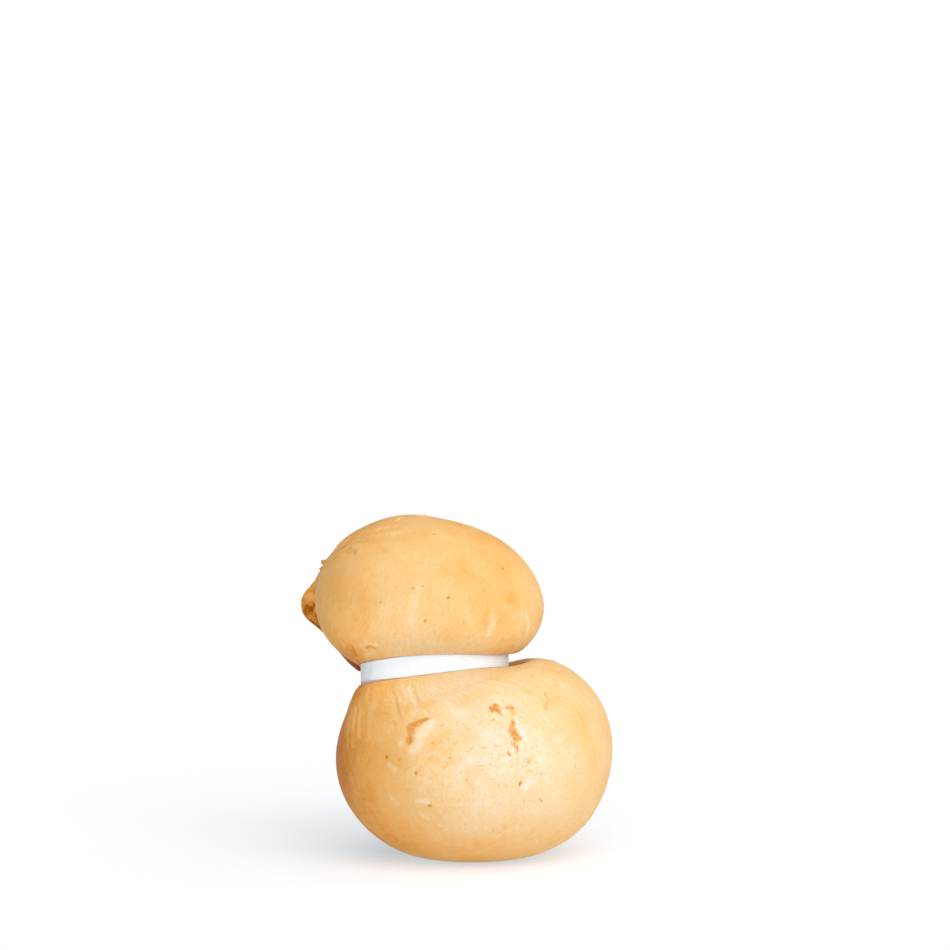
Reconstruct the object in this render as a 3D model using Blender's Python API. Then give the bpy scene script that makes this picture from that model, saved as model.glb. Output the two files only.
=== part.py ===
"""Smoked scamorza: a stretched-curd cheese with a pinched waist, and the white tape round it.

The cheese stands on its flat foot at z = 0, with +Z up. Its front is towards -Y, and +X is to
the right of someone who faces it. The origin is the centre of the foot. Lengths are in metres.

The cheese is a loft. Two rails, drawn in the XZ plane, give its left and right outline from the
foot to the top of the head. Each section is a rounded closed curve that spans the two rails. A
fold of the rind is then raised on the left of the head, with the knob that it ends in.
"""

import math
from collections import namedtuple

import bpy
import numpy as np

MM = 0.001

# Rails. A knot is a place in mm, the heading there in degrees (0 = towards +X, 90 = up), and how
# far the curve holds that heading before and after the knot, as a share of the span's chord.
Knot = namedtuple("Knot", "x z heading before after")

WAIST_RIGHT = (10.2, 56.3, 62.8)    # x, and z of the waist's foot and top
WAIST_LEFT = (-31.8, 50.9, 57.4)
LEDGE = 1.7                         # how far the cheese reaches over and under the tape


def ledge(side, other, level):
    """The waist's end moved outwards by the ledge, in line with its other end."""
    x, z = side[0], side[level]
    run, rise = x - other[0], z - other[level]
    share = LEDGE / math.hypot(run, rise)
    return x + run * share, z + rise * share


RIGHT_RAIL = (
    Knot(12.2, 0.0, 0, 0.00, 0.35),       # edge of the foot
    Knot(42.4, 32.0, 90, 0.45, 0.46),     # widest of the body
    Knot(20.0, 59.5, 180, 0.26, 0.34),    # shoulder
    Knot(*ledge(WAIST_RIGHT, WAIST_LEFT, 1), 180, 0.33, 0.00),   # floor under the tape
    Knot(WAIST_RIGHT[0], WAIST_RIGHT[1], 90, 0.00, 0.00),        # foot of the waist
    Knot(WAIST_RIGHT[0], WAIST_RIGHT[2], 90, 0.00, 0.00),        # top of the waist
    Knot(*ledge(WAIST_RIGHT, WAIST_LEFT, 2), 0, 0.00, 0.00),     # roof over the tape
    Knot(12.5, 61.4, 0, 0.00, 0.30),      # lip of the head
    Knot(21.6, 76.0, 97, 0.37, 0.385),    # widest of the head
    Knot(-17.3, 102.3, 180, 0.305, 0.00),  # top
)
LEFT_RAIL = (
    Knot(-12.5, 0.0, 180, 0.00, 0.32),
    Knot(-40.4, 29.3, 90, 0.40, 0.36),
    Knot(-37.8, 42.2, 70, 0.33, 0.33),
    Knot(*ledge(WAIST_LEFT, WAIST_RIGHT, 1), 50, 0.33, 0.00),
    Knot(WAIST_LEFT[0], WAIST_LEFT[1], 90, 0.00, 0.00),
    Knot(WAIST_LEFT[0], WAIST_LEFT[2], 90, 0.00, 0.00),
    Knot(*ledge(WAIST_LEFT, WAIST_RIGHT, 2), 180, 0.00, 0.00),
    Knot(-34.4, 57.8, 151, 0.00, 0.37),
    Knot(-46.7, 79.4, 84, 0.37, 0.43),
    Knot(-17.3, 102.3, 0, 0.305, 0.00),
)

# Sections at the same knots: half depth over half width, power of the rounded curve, its power
# at the front left corner, how far the front is tipped up in degrees, the centre's set-back in
# mm, and the number of rings from this knot to the next.
Section = namedtuple("Section", "depth power corner tip back rings")

SECTIONS = (
    Section(0.84, 2.00, 2.00, 0.0, 0.0, 10),
    Section(0.95, 2.10, 2.10, 0.0, 0.0, 8),
    Section(0.93, 2.20, 2.60, 4.0, 0.0, 5),
    Section(0.88, 2.60, 4.50, 11.5, 0.0, 1),
    Section(0.88, 2.60, 5.00, 11.5, 0.0, 2),
    Section(0.88, 2.60, 5.00, 11.5, 0.0, 1),
    Section(0.88, 2.60, 5.00, 11.5, 0.0, 2),
    Section(0.87, 2.60, 4.80, 11.0, 0.4, 13),
    Section(0.84, 2.15, 2.15, 2.0, 3.0, 11),
    Section(0.84, 2.00, 2.00, 0.0, 3.0, 0),
)
SHOULDER = 2
WAIST_FOOT = 4
ROOF = 6
LIP = 7
TOP = 9

COLUMNS = 76              # points round a section
CROWDING = 0.45           # how much closer they stand on the left, where the fold is
FOOT_SHARES = (0.4, 0.7)  # rings inside the flat foot, as shares of its size

# The fold starts under the lip on the left, climbs the left side and bends over the front as a
# crest. Each pair is a station along the rails, counted in knots, and an angle round the section
# in degrees, where 180 is the left and 270 the front.
FOLD_PATH = ((6.9, 175), (7.2, 175), (7.5, 176), (7.85, 177), (8.1, 178), (8.2, 184), (8.29, 195),
             (8.38, 210), (8.44, 230), (8.5, 254))
# How far the rind behind stands up, in mm.
FOLD_LIFT = (0.5, 0.0, 0.3, 0.5, 0.1, -1.2, 0.4, 0.4, 0.4, 0.2)
CREASE_DEPTH = 1.1 * MM
CREASE_REACH = 2.6 * MM   # half width of the crease
FOLD_RISE = 5.0 * MM      # from the crease to the top of the fold
FOLD_FALL = 15.0 * MM     # from there to the plain rind behind
KNOB_LIFT = 4.8 * MM
KNOB_HEIGHT = 75.0 * MM   # level of its tip
KNOB_SPREAD = 5.8 * MM
CREST_LIFT = 0.6 * MM     # how far the rind swells towards the crest
CREST_HOLLOW = 1.0 * MM   # depth of the hollow behind the crest
CREST_REACH = 6.0 * MM    # width of that hollow

# Where the lip of the head hangs down: angle and spread in degrees, and how far in mm.
LIP_SAGS = ((143.0, 24.0, 2.0), (318.0, 36.0, 1.4))

LUMP_DEPTH = 0.25 * MM    # unevenness of a hand-formed cheese
LUMP_LENGTH = 30.0 * MM
BODY_CENTRE = np.array((0.0, 0.0, 32.0)) * MM
HEAD_CENTRE = np.array((-12.5, 3.0, 78.0)) * MM

TAPE_GAP = 0.3 * MM       # between the tape and the cheese
TAPE_THICKNESS = 0.8 * MM
TAPE_ROUNDING = 0.2 * MM

# Linear colour, roughness and metallic value.
RIND_FINISH = ((0.80, 0.50, 0.21, 1.0), 0.5, 0.0)
TAPE_FINISH = ((0.88, 0.88, 0.87, 1.0), 0.55, 0.0)


def remove_objects():
    """Empty the scene."""
    for thing in list(bpy.data.objects):
        bpy.data.objects.remove(thing, do_unlink=True)


def eased(share):
    """0 to 1 with a level start and end."""
    share = np.clip(share, 0.0, 1.0)
    return share * share * (3.0 - 2.0 * share)


def bell(offset, reach):
    """1 at no offset, falling away to both sides within about twice the reach."""
    return np.exp(-(offset / reach) ** 2)


def between_knots(values, stations):
    """Values given at the knots, eased from knot to knot."""
    values = np.asarray(values, dtype=float)
    span = np.minimum(stations.astype(int), len(values) - 2)
    return values[span] + (values[span + 1] - values[span]) * eased(stations - span)


def rail_points(rail, stations):
    """Points of a rail: one cubic curve for each span, tangent to the headings of its knots."""
    points = np.zeros((len(stations), 2))
    spans = np.minimum(stations.astype(int), len(rail) - 2)
    for span, (low, high) in enumerate(zip(rail, rail[1:])):
        here = spans == span
        share = (stations[here] - span)[:, None]
        start = np.array((low.x, low.z))
        end = np.array((high.x, high.z))
        chord = np.linalg.norm(end - start)
        leave, arrive = math.radians(low.heading), math.radians(high.heading)
        first = start + low.after * chord * np.array((math.cos(leave), math.sin(leave)))
        second = end - high.before * chord * np.array((math.cos(arrive), math.sin(arrive)))
        rest = 1.0 - share
        points[here] = (rest ** 3 * start + 3.0 * rest ** 2 * share * first
                        + 3.0 * rest * share ** 2 * second + share ** 3 * end)
    return points * MM


def section_reach(stations, angles):
    """Distance of a section's curve from its centre, where the half width and depth are 1."""
    left = np.clip(-np.cos(angles), 0.0, 1.0)
    front = np.clip(0.5 - np.sin(angles), 0.0, 1.0)
    corner = eased(2.2 * left * front)
    plain_power = between_knots([s.power for s in SECTIONS], stations)[:, None]
    corner_power = between_knots([s.corner for s in SECTIONS], stations)[:, None]
    power = plain_power + (corner_power - plain_power) * corner
    return (np.abs(np.cos(angles)) ** power + np.abs(np.sin(angles)) ** power) ** (-1.0 / power)


def lip_sag(stations, angles):
    """How far the lip of the head hangs down round its edge."""
    near_lip = eased(stations - ROOF) * (1.0 - eased((stations - LIP) / 0.45))
    degrees = np.degrees(angles) % 360.0
    drops = [drop * np.exp(-((degrees - angle) / spread) ** 2) for angle, spread, drop in LIP_SAGS]
    return near_lip[:, None] * sum(drops) * MM


def loft(stations, angles, shares=1.0, outset=0.0):
    """Points of the plain cheese, one row for each station and one column for each angle.

    A section runs from rail to rail, tipped up at the front. shares shrinks a section about
    the middle of the foot, and outset widens it all round.
    """
    shares = np.broadcast_to(shares, stations.shape)[:, None]
    right = rail_points(RIGHT_RAIL, stations) * shares
    left = rail_points(LEFT_RAIL, stations) * shares
    centre = (right + left) / 2.0
    half = (right - left) / 2.0
    width = np.linalg.norm(half, axis=1, keepdims=True)
    along = half / width * (width + outset)
    deep = width * between_knots([s.depth for s in SECTIONS], stations)[:, None] + outset
    tip = np.radians(between_knots([s.tip for s in SECTIONS], stations))[:, None]
    back = between_knots([s.back for s in SECTIONS], stations)[:, None] * MM
    reach = section_reach(stations, angles)
    across = reach * np.cos(angles)
    inward = reach * np.sin(angles) * deep
    x = centre[:, :1] + across * along[:, :1]
    y = back + inward * np.cos(tip)
    z = centre[:, 1:] + across * along[:, 1:] - inward * np.sin(tip) - lip_sag(stations, angles)
    return np.stack((x, y, z), axis=-1)


def smooth_path(pairs, steps=12):
    """A smooth curve (Catmull-Rom) through the given rows of numbers."""
    knots = np.asarray(pairs, dtype=float)
    padded = np.vstack((2 * knots[0] - knots[1], knots, 2 * knots[-1] - knots[-2]))
    share = np.linspace(0.0, 1.0, steps, endpoint=False)[:, None]
    pieces = []
    for a, b, c, d in zip(padded, padded[1:], padded[2:], padded[3:]):
        pieces.append(0.5 * (2 * b + (c - a) * share + (2 * a - 5 * b + 4 * c - d) * share ** 2
                             + (3 * b - a - 3 * c + d) * share ** 3))
    return np.vstack(pieces + [knots[-1:]])


def fold_relief(points, outward):
    """How far the fold lifts each point.

    On the left side the crease is a narrow trough along the path. Behind it the rind rises to
    the fold and falls away slowly, and the knob is a steep bell on the fold. Over the top of the
    head the path is a crest: the rind swells towards it, and is hollow behind it.
    """
    path = smooth_path([(*place, lift) for place, lift in zip(FOLD_PATH, FOLD_LIFT)])
    angles = np.radians(path[:, 1])
    line = np.array([loft(path[i:i + 1, 0], angles[i:i + 1])[0, 0] for i in range(len(path))])
    steps = np.gradient(line, axis=0)
    gaps = np.linalg.norm(points[:, None, :] - line[None, :, :], axis=2)
    nearest = gaps.argmin(axis=1)
    offset = points - line[nearest]
    side = np.einsum("ij,ij->i", np.cross(steps[nearest], offset), outward)
    behind = gaps.min(axis=1) * np.sign(side)
    lift = path[nearest, 2] * MM
    level = line[nearest, 2]
    turned = path[nearest, 1]
    on_side = eased((190.0 - turned) / 10.0)
    lift = lift + KNOB_LIFT * on_side * np.exp(-np.abs((level - KNOB_HEIGHT) / KNOB_SPREAD) ** 2.6)
    rise = eased(behind / FOLD_RISE)
    fall = 1.0 - eased((behind - FOLD_RISE) / FOLD_FALL)
    crease = CREASE_DEPTH * eased((186.0 - turned) / 8.0) * bell(behind, CREASE_REACH)
    crest = eased((turned - 194.0) / 16.0) * eased((len(path) - 1 - nearest) / 36.0)
    swelling = np.where(behind < 0.0, np.exp(behind / (4.5 * MM)), bell(behind, 1.3 * MM))
    hollow = eased(behind / (1.6 * MM)) * bell(behind, CREST_REACH)
    return lift * rise * fall - crease + crest * (CREST_LIFT * swelling - CREST_HOLLOW * hollow)


def lump_relief(points):
    """Slow waves in three directions, which leave the cheese slightly uneven."""
    x, y, z = (points / LUMP_LENGTH * 2.0 * math.pi).T
    waves = np.sin(x + 0.6 * z) * np.cos(0.8 * y - 0.5) + np.sin(0.7 * z - y + 1.0) * np.cos(x - 2.0)
    return LUMP_DEPTH * 0.5 * waves


def cheese_points(stations, angles):
    """The loft with its relief. The foot and the waist stay plain."""
    points = loft(stations, angles)
    flat = points.reshape(-1, 3)
    station = np.repeat(stations, len(angles))
    on_head = station > ROOF
    centre = np.where(on_head[:, None], HEAD_CENTRE, BODY_CENTRE)
    outward = flat - centre
    outward /= np.linalg.norm(outward, axis=1, keepdims=True)
    body_share = eased(station) * (1.0 - eased(station - SHOULDER))
    head_share = eased((station - LIP) / 0.5)
    relief = lump_relief(flat) * (body_share + head_share)
    relief += np.where(on_head, fold_relief(flat, outward) * eased(station - ROOF), 0.0)
    return (flat + outward * relief[:, None]).reshape(points.shape)


def ring_angles():
    """Angles round a section, closer together on the left."""
    even = np.arange(COLUMNS) * 2.0 * math.pi / COLUMNS
    return even + CROWDING * np.sin(even)


def closed_grid(rows, columns):
    """Faces between rows of points that each close on themselves, turned to face outwards."""
    faces = []
    for row in range(rows - 1):
        for column in range(columns):
            after = (column + 1) % columns
            here, above = row * columns, (row + 1) * columns
            faces.append((here + column, here + after, above + after, above + column))
    return faces


def add_object(name, points, faces, finish):
    """One named object with its own material."""
    mesh = bpy.data.meshes.new(name)
    mesh.from_pydata([tuple(point) for point in points], [], faces)
    mesh.validate()
    mesh.shade_smooth()
    thing = bpy.data.objects.new(name, mesh)
    bpy.context.scene.collection.objects.link(thing)
    material = bpy.data.materials.new(name + " finish")
    material.use_nodes = True
    shader = material.node_tree.nodes["Principled BSDF"]
    colour, roughness, metallic = finish
    shader.inputs["Base Color"].default_value = colour
    shader.inputs["Roughness"].default_value = roughness
    shader.inputs["Metallic"].default_value = metallic
    mesh.materials.append(material)
    return thing


def make_cheese():
    """The cheese as one closed body: foot, body, waist, head, fold and knob."""
    spans = [k + np.arange(s.rings) / s.rings for k, s in enumerate(SECTIONS[:-1])]
    stations = np.concatenate(spans)
    angles = ring_angles()
    foot = loft(np.zeros(len(FOOT_SHARES)), angles, shares=np.array(FOOT_SHARES))
    rings = np.concatenate((foot, cheese_points(stations, angles)))
    pole = rail_points(RIGHT_RAIL, np.array([float(TOP)]))[0]
    top = (pole[0], SECTIONS[TOP].back * MM, pole[1])
    points = [(0.0, 0.0, 0.0), *rings.reshape(-1, 3), top]
    faces = [tuple(1 + corner for corner in face) for face in closed_grid(len(rings), COLUMNS)]
    last = len(points) - 1
    first_of_last_ring = last - COLUMNS
    for column in range(COLUMNS):
        after = (column + 1) % COLUMNS
        faces.append((0, 1 + after, 1 + column))
        faces.append((last, first_of_last_ring + column, first_of_last_ring + after))
    add_object("cheese", points, faces, RIND_FINISH)


def make_tape():
    """The tape as a closed ring with a flat profile, round the waist and clear of it."""
    height = (WAIST_LEFT[2] - WAIST_LEFT[1]) * MM
    angles = ring_angles()
    low, high = TAPE_GAP, height - TAPE_GAP
    near, far = TAPE_GAP, TAPE_GAP + TAPE_THICKNESS
    cut = TAPE_ROUNDING
    profile = (
        (near, low), (far - cut, low), (far, low + cut), (far, (low + high) / 2.0),
        (far, high - cut), (far - cut, high), (near, high), (near, (low + high) / 2.0),
    )
    rings = []
    for outset, level in profile:
        station = np.array([WAIST_FOOT + level / height])
        rings.append(loft(station, angles, outset=outset)[0])
    rings.append(rings[0])
    faces = closed_grid(len(rings), COLUMNS)
    count = (len(rings) - 1) * COLUMNS
    faces = [tuple(corner % count for corner in face) for face in faces]
    add_object("band", np.concatenate(rings[:-1]), faces, TAPE_FINISH)


def main():
    remove_objects()
    make_cheese()
    make_tape()


main()
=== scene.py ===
"""Smoked scamorza: the rind of the cheese and the white tape tied round its waist.

The cheese stands on its foot at z = 0, its front towards -Y and +X to the right of someone who
faces it. Lengths are in metres, and the shape tables are in millimetres.
"""

import math
from collections import namedtuple

import bpy
import numpy as np
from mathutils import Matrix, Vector


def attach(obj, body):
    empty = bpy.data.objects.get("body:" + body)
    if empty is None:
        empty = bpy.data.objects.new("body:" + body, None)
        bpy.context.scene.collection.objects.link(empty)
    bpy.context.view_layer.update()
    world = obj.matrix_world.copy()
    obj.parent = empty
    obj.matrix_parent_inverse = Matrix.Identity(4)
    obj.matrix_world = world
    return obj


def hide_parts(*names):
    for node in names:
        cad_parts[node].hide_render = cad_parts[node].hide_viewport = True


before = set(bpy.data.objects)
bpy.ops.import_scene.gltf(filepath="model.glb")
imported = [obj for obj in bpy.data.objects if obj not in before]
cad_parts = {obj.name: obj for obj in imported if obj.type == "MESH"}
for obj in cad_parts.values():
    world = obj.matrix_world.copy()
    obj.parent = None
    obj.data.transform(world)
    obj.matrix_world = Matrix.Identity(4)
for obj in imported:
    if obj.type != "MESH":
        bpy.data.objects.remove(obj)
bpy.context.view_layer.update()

bl_info = {
    "name": "Smoked scamorza",
    "version": (1, 0, 0),
    "blender": (4, 5, 0),
    "location": "View3D > Sidebar > Scamorza",
    "description": "Builds a smoked scamorza with its white tape, and the studio it stands in",
    "category": "Add Mesh",
}

MM = 0.001

# Rails of the loft. A knot is a place in mm, the heading there in degrees (0 = towards +X,
# 90 = up), and how far the curve holds that heading before and after the knot, as a share of
# the span's chord.
Knot = namedtuple("Knot", "x z heading before after")

WAIST_RIGHT = (10.2, 56.3, 62.8)  # x, and z of the waist's foot and top
WAIST_LEFT = (-31.8, 50.9, 57.4)
LEDGE = 1.7  # how far the cheese reaches over and under the tape


def ledge(side, other, level):
    """The waist's end moved outwards by the ledge, in line with its other end."""
    x, z = side[0], side[level]
    run, rise = x - other[0], z - other[level]
    share = LEDGE / math.hypot(run, rise)
    return x + run * share, z + rise * share


def waist_knots(side, other, floor, roof):
    """Floor under the tape, foot and top of the waist, and roof over the tape, with both headings."""
    return (Knot(*ledge(side, other, 1), floor, 0.33, 0.00), Knot(side[0], side[1], 90, 0.00, 0.00),
            Knot(side[0], side[2], 90, 0.00, 0.00), Knot(*ledge(side, other, 2), roof, 0.00, 0.00))


RIGHT_RAIL = (
    Knot(12.2, 0.0, 0, 0.00, 0.35),  # edge of the foot
    Knot(42.4, 32.0, 90, 0.45, 0.46),  # widest of the body
    Knot(20.0, 59.5, 180, 0.26, 0.34),  # shoulder
    *waist_knots(WAIST_RIGHT, WAIST_LEFT, 180, 0),
    Knot(12.5, 61.4, 0, 0.00, 0.30),  # lip of the head
    Knot(21.6, 76.0, 97, 0.37, 0.385),  # widest of the head
    Knot(-17.3, 102.3, 180, 0.305, 0.00),  # top
)
LEFT_RAIL = (
    Knot(-12.5, 0.0, 180, 0.00, 0.32),
    Knot(-40.4, 29.3, 90, 0.40, 0.36),
    Knot(-37.8, 42.2, 70, 0.33, 0.33),
    *waist_knots(WAIST_LEFT, WAIST_RIGHT, 50, 180),
    Knot(-34.4, 57.8, 151, 0.00, 0.37),
    Knot(-46.7, 79.4, 84, 0.37, 0.43),
    Knot(-17.3, 102.3, 0, 0.305, 0.00),
)

# Sections at the same knots: half depth over half width, power of the rounded curve, its power
# at the front left corner, how far the front is tipped up in degrees, the centre's set-back in
# mm, and the number of rings from this knot to the next.
Section = namedtuple("Section", "depth power corner tip back rings")

SECTIONS = (
    Section(0.84, 2.00, 2.00, 0.0, 0.0, 76),
    Section(0.95, 2.10, 2.10, 0.0, 0.0, 62),
    Section(0.93, 2.20, 2.60, 4.0, 0.0, 20),
    Section(0.88, 2.60, 4.50, 11.5, 0.0, 4),
    Section(0.88, 2.60, 5.00, 11.5, 0.0, 4),
    Section(0.88, 2.60, 5.00, 11.5, 0.0, 4),
    Section(0.88, 2.60, 5.00, 11.5, 0.0, 6),
    Section(0.87, 2.60, 4.80, 11.0, 0.4, 64),
    Section(0.84, 2.15, 2.15, 2.0, 3.0, 62),
    Section(0.84, 2.00, 2.00, 0.0, 3.0, 0),
)
SHOULDER = 2
WAIST_FOOT = 4
ROOF = 6
LIP = 7
TOP = 9

COLUMNS = 324
CROWDING = 0.5  # how much closer the columns stand at the front left
CROWDED_AT = math.radians(250.0)
FOOT_SHARES = (0.25, 0.5, 0.75)  # rings inside the flat foot, as shares of its size

# Ramps: each is a start and how far the change takes, below 0 towards smaller values. These are
# stations where the fine relief starts at the foot, ends under the tape and starts again.
FINE_FOOT = (0.0, 0.15)
FINE_WAIST = (2.7, 0.3)
FINE_HEAD = (ROOF + 0.5, 0.5)
LUMPS_END = (SHOULDER, 1.0)  # stations where the body's lumps end and the head's start
LUMPS_AGAIN = (LIP, 0.5)

# The fold of rind: station and angle in degrees of places along it, and the lift behind it in mm.
FOLD_PATH = ((6.9, 175, 0.5), (7.2, 175, 0.0), (7.5, 176, 0.3), (7.85, 177, 0.5), (8.1, 178, 0.1),
             (8.2, 184, -1.2), (8.29, 195, 0.4), (8.38, 210, 0.4), (8.44, 230, 0.4), (8.5, 254, 0.2))
# Strips behind the path: how far each takes to rise, where it starts to fall and how far it takes.
FOLD_STRIP = (5.0 * MM, 5.0 * MM, 15.0 * MM)
KNOB_STRIP = (1.2 * MM, 5.0 * MM, 4.0 * MM)
TOOTH_STRIP = (1.5 * MM, 3.5 * MM, 3.5 * MM)
UNDER_STRIP = (0.8 * MM, 2.0 * MM, 9.0 * MM)
# Angles of the path, in degrees, where its parts end or start.
FLANK_TURN = (186.0, -8.0)
KNOB_TURN = (190.0, -10.0)
EDGE_TURN = (186.0, 8.0)
CREST_TURN = (194.0, 16.0)
CREST_FADE = 36.0  # samples over which the crest fades before the path's end
TROUGH_REACH = 2.6 * MM
KNOB_HEIGHT = 75.0 * MM
KNOB_SPREAD = 5.8 * MM
KNOB_POWER = 2.6
# Creases down the knob: how far the rind stands out and the level there, in mm, and how deep.
KNOB_CREASES = (
    ((0.3, 0.5, 1.0, 2.2, 3.2, 4.2), (69.3, 70.0, 71.2, 73.7, 74.6, 75.0), 1.0),
    ((0.3, 1.4, 2.7, 4.0), (73.4, 74.8, 75.9, 76.4), 0.6),
    ((0.3, 1.0, 2.0, 3.4), (77.6, 78.4, 79.2, 79.8), 0.35),
)
CREASE_HALF = 0.7 * MM  # half height of those creases
CREASE_DEPTH = 0.8 * MM
KNOB_RIM = (3.2 * MM, 1.4 * MM)  # how far out the creases end, at the knob's rim
# The knob's face has painted shade: over it from a share of its height, and more below the first crease.
KNOB_FACE = 0.3  # share of the knob's height from which its creases are there in full
KNOB_SHADED = 0.25  # and its shade
BELOW_CREASE = (0.6 * MM, -2.0 * MM)  # where the shade below the first crease starts
# Teeth of the torn edge over the knob: level and half height in mm, and how far they stand out.
TEETH = ((87.8, 0.45, 1.8), (86.1, 0.50, 1.0), (84.6, 0.45, 0.6), (83.0, 0.60, 0.4))
TOOTH_WANDER = 0.3 * MM
CREST_SWELL = (4.5 * MM, 1.3 * MM)  # reach of the crest's swelling before and behind it
CREST_HOLLOW = (1.6 * MM, 6.0 * MM)  # rise and reach of the hollow behind it
FACET_REACH = 13.0 * MM
# Painted shade: a dark line where the fold tucks in behind the trough, and the underside darker low on the
# head.
TUCK = (1.0 * MM, 1.6 * MM)  # place and reach of the dark line behind the trough
LOW_HEAD = (72.0 * MM, -11.0 * MM)  # levels where the underside is darker
# How dark the painted shade makes each part of the fold: under it, where it tucks in, low on the head, in
# and below the knob's creases, and over the knob, which is partly its smoke.
FOLD_PAINTED_SHADES = {"under": 0.06, "tuck": 0.08, "low": 0.34, "creases": 0.36, "below": 0.17, "knob": 0.13}
# Painted shade and painted highlight along the crest: a dark line behind it and a light one before it, each
# with its place behind it and reach in mm, and how dark.
CREST_SHADE_LINES = ((0.9, 0.9, 0.20), (-0.7, 1.2, -0.12))

# Where the lip of the head hangs down: angle and spread in degrees, and how far in mm.
LIP_SAGS = ((143.0, 24.0, 2.0), (318.0, 36.0, 1.4))
LIP_FADE = 0.45  # stations over which that fades above the lip
CORNER_GAIN = 2.2  # how soon a section has the power of its corner in full

LUMP_LENGTH = 30.0 * MM
BODY_CENTRE = np.array((0.0, 0.0, 32.0)) * MM
HEAD_CENTRE = np.array((-12.5, 3.0, 78.0)) * MM
WAIST_HEIGHT = (WAIST_LEFT[2] - WAIST_LEFT[1]) * MM
WAVE_SPREAD = (0.7, 1.4)  # shares of their length that random waves vary between
WAVE_GAIN = 0.8

# Wrinkles and fibres: degrees from one to the next, the wrinkles' angle and level, and the
# fibres' level, each with its reach.
WRINKLE_STEP = 3.7
WRINKLES_AT = ((207.0, 20.0), (44.0, 11.0))
FIBRE_STEP = 2.3
FIBRES_AT = (57.0, 16.0)
PULL_LEVEL = 60.0 * MM  # where the rind is pulled together, and how far that reaches
PULL_REACH = {"body": 17.0 * MM, "head": 24.0 * MM}
PIT_DEPTH = 0.25 * MM
FIBRE_FAN = 0.22  # how far the fibres turn with each station from the waist
FIBRE_CLIMB = 0.25
SWEEP_CENTRE = (-21.9, 78.5)  # centre of the streaks behind the crest, in mm
SWEEP_SCALE = (2.6, 1.25)  # along the streaks and across them

# Smoke of the plain rind, and its slow changes: the lobe, how much more smoked, and the ramps that bound
# it. They are partly real smoke and partly painted shade: the left and low sides come out darker, and the
# right of the head and the part under it paler, as light falls from the front right. Each ramp has its
# axis, start and length in mm.
PLAIN_SMOKE = 0.36
MOST_SMOKE = 0.78
HEAD_FROM = (58.0, 4.0)
SMOKE_AND_SHADE_RAMPS = (
    ("body", 0.36, ("x", -10.0, -27.0)),
    ("body", 0.15, ("x", -33.0, -7.0)),
    ("body", 0.19, ("z", 18.0, -16.0)),
    ("body", -0.114, ("z", 18.0, -16.0), ("x", 0.0, 20.0)),
    ("head", 0.16, ("x", -20.0, -22.0)),
    ("head", 0.16, ("z", 68.0, -6.0), ("x", -30.0, -6.0)),
    ("head", -0.12, ("x", 10.0, 8.0)),
    ("head", -0.13, ("z", 74.0, -8.0), ("x", -34.0, 12.0)),
    ("head", 0.12, ("z", 76.0, -12.0), ("x", -20.0, -20.0)),
    ("head", -0.14, ("x", -44.5, -2.5), ("z", 84.0, -6.0)),
    ("head", 0.12, ("x", -6.0, 14.0)),
    ("head", 0.10, ("z", 90.0, 10.0)),
    ("both", 0.12, ("y", 0.0, 25.0)),
)
# Soft spots, as seen from the front: across, level and both reaches in mm, and how much. The body's are
# painted light: a broad painted highlight on the belly, and a paler band under the tape. The front's show
# only on the front side, and are partly painted light and shade, paler below 0 and more smoked above.
BODY_PAINTED_LIGHT = ((8.0, 34.0, 25.0, 21.0, -0.34), (-2.0, 54.0, 16.0, 6.0, -0.12))
FRONT_LIGHT_AND_SMOKE = (
    (14.5, 67.5, 7.0, 4.0, 0.11), (-30.0, 44.0, 8.0, 8.0, -0.09), (-6.0, 24.0, 12.0, 9.0, 0.07),
    (-9.0, 7.0, 14.0, 5.0, 0.05), (30.0, 17.0, 9.0, 8.0, -0.07), (-6.0, 99.0, 12.0, 5.0, -0.07),
    (-27.0, 50.0, 6.0, 4.0, -0.06), (-32.0, 22.0, 7.0, 8.0, 0.05), (8.0, 40.0, 8.0, 8.0, -0.03),
)
FRONT_FROM = (5.0, -15.0)  # the ramp of y where the front tones show
FLECKS = ((2.0, 34.0, 26.0, 15.0, 1.00), (0.0, 9.0, math.inf, 8.0, 0.45),
          (0.0, 88.0, math.inf, 9.0, 0.25))
# Painted shade: the far edge of the body's left flank comes out darker.
FLANK_SHADE_RAMPS = ((-34.0, -6.0), (60.0, -4.0))  # ramps across and up of the body's dark left flank

# The shader slows the smoke over the knee to the slope, so that mottling stays soft there.
SMOKE_KNEE = 0.72
SMOKE_SLOPE = 0.60
# Fields that the rind's material reads. Of these, smoke holds smoke with some painted shade and painted
# light in it, and crease holds painted shade.
RIND_FIELDS = ("smoke", "crease", "stain", "speck", "pale", "flecks", "facet", "pull", "strand", "sweep")
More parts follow.
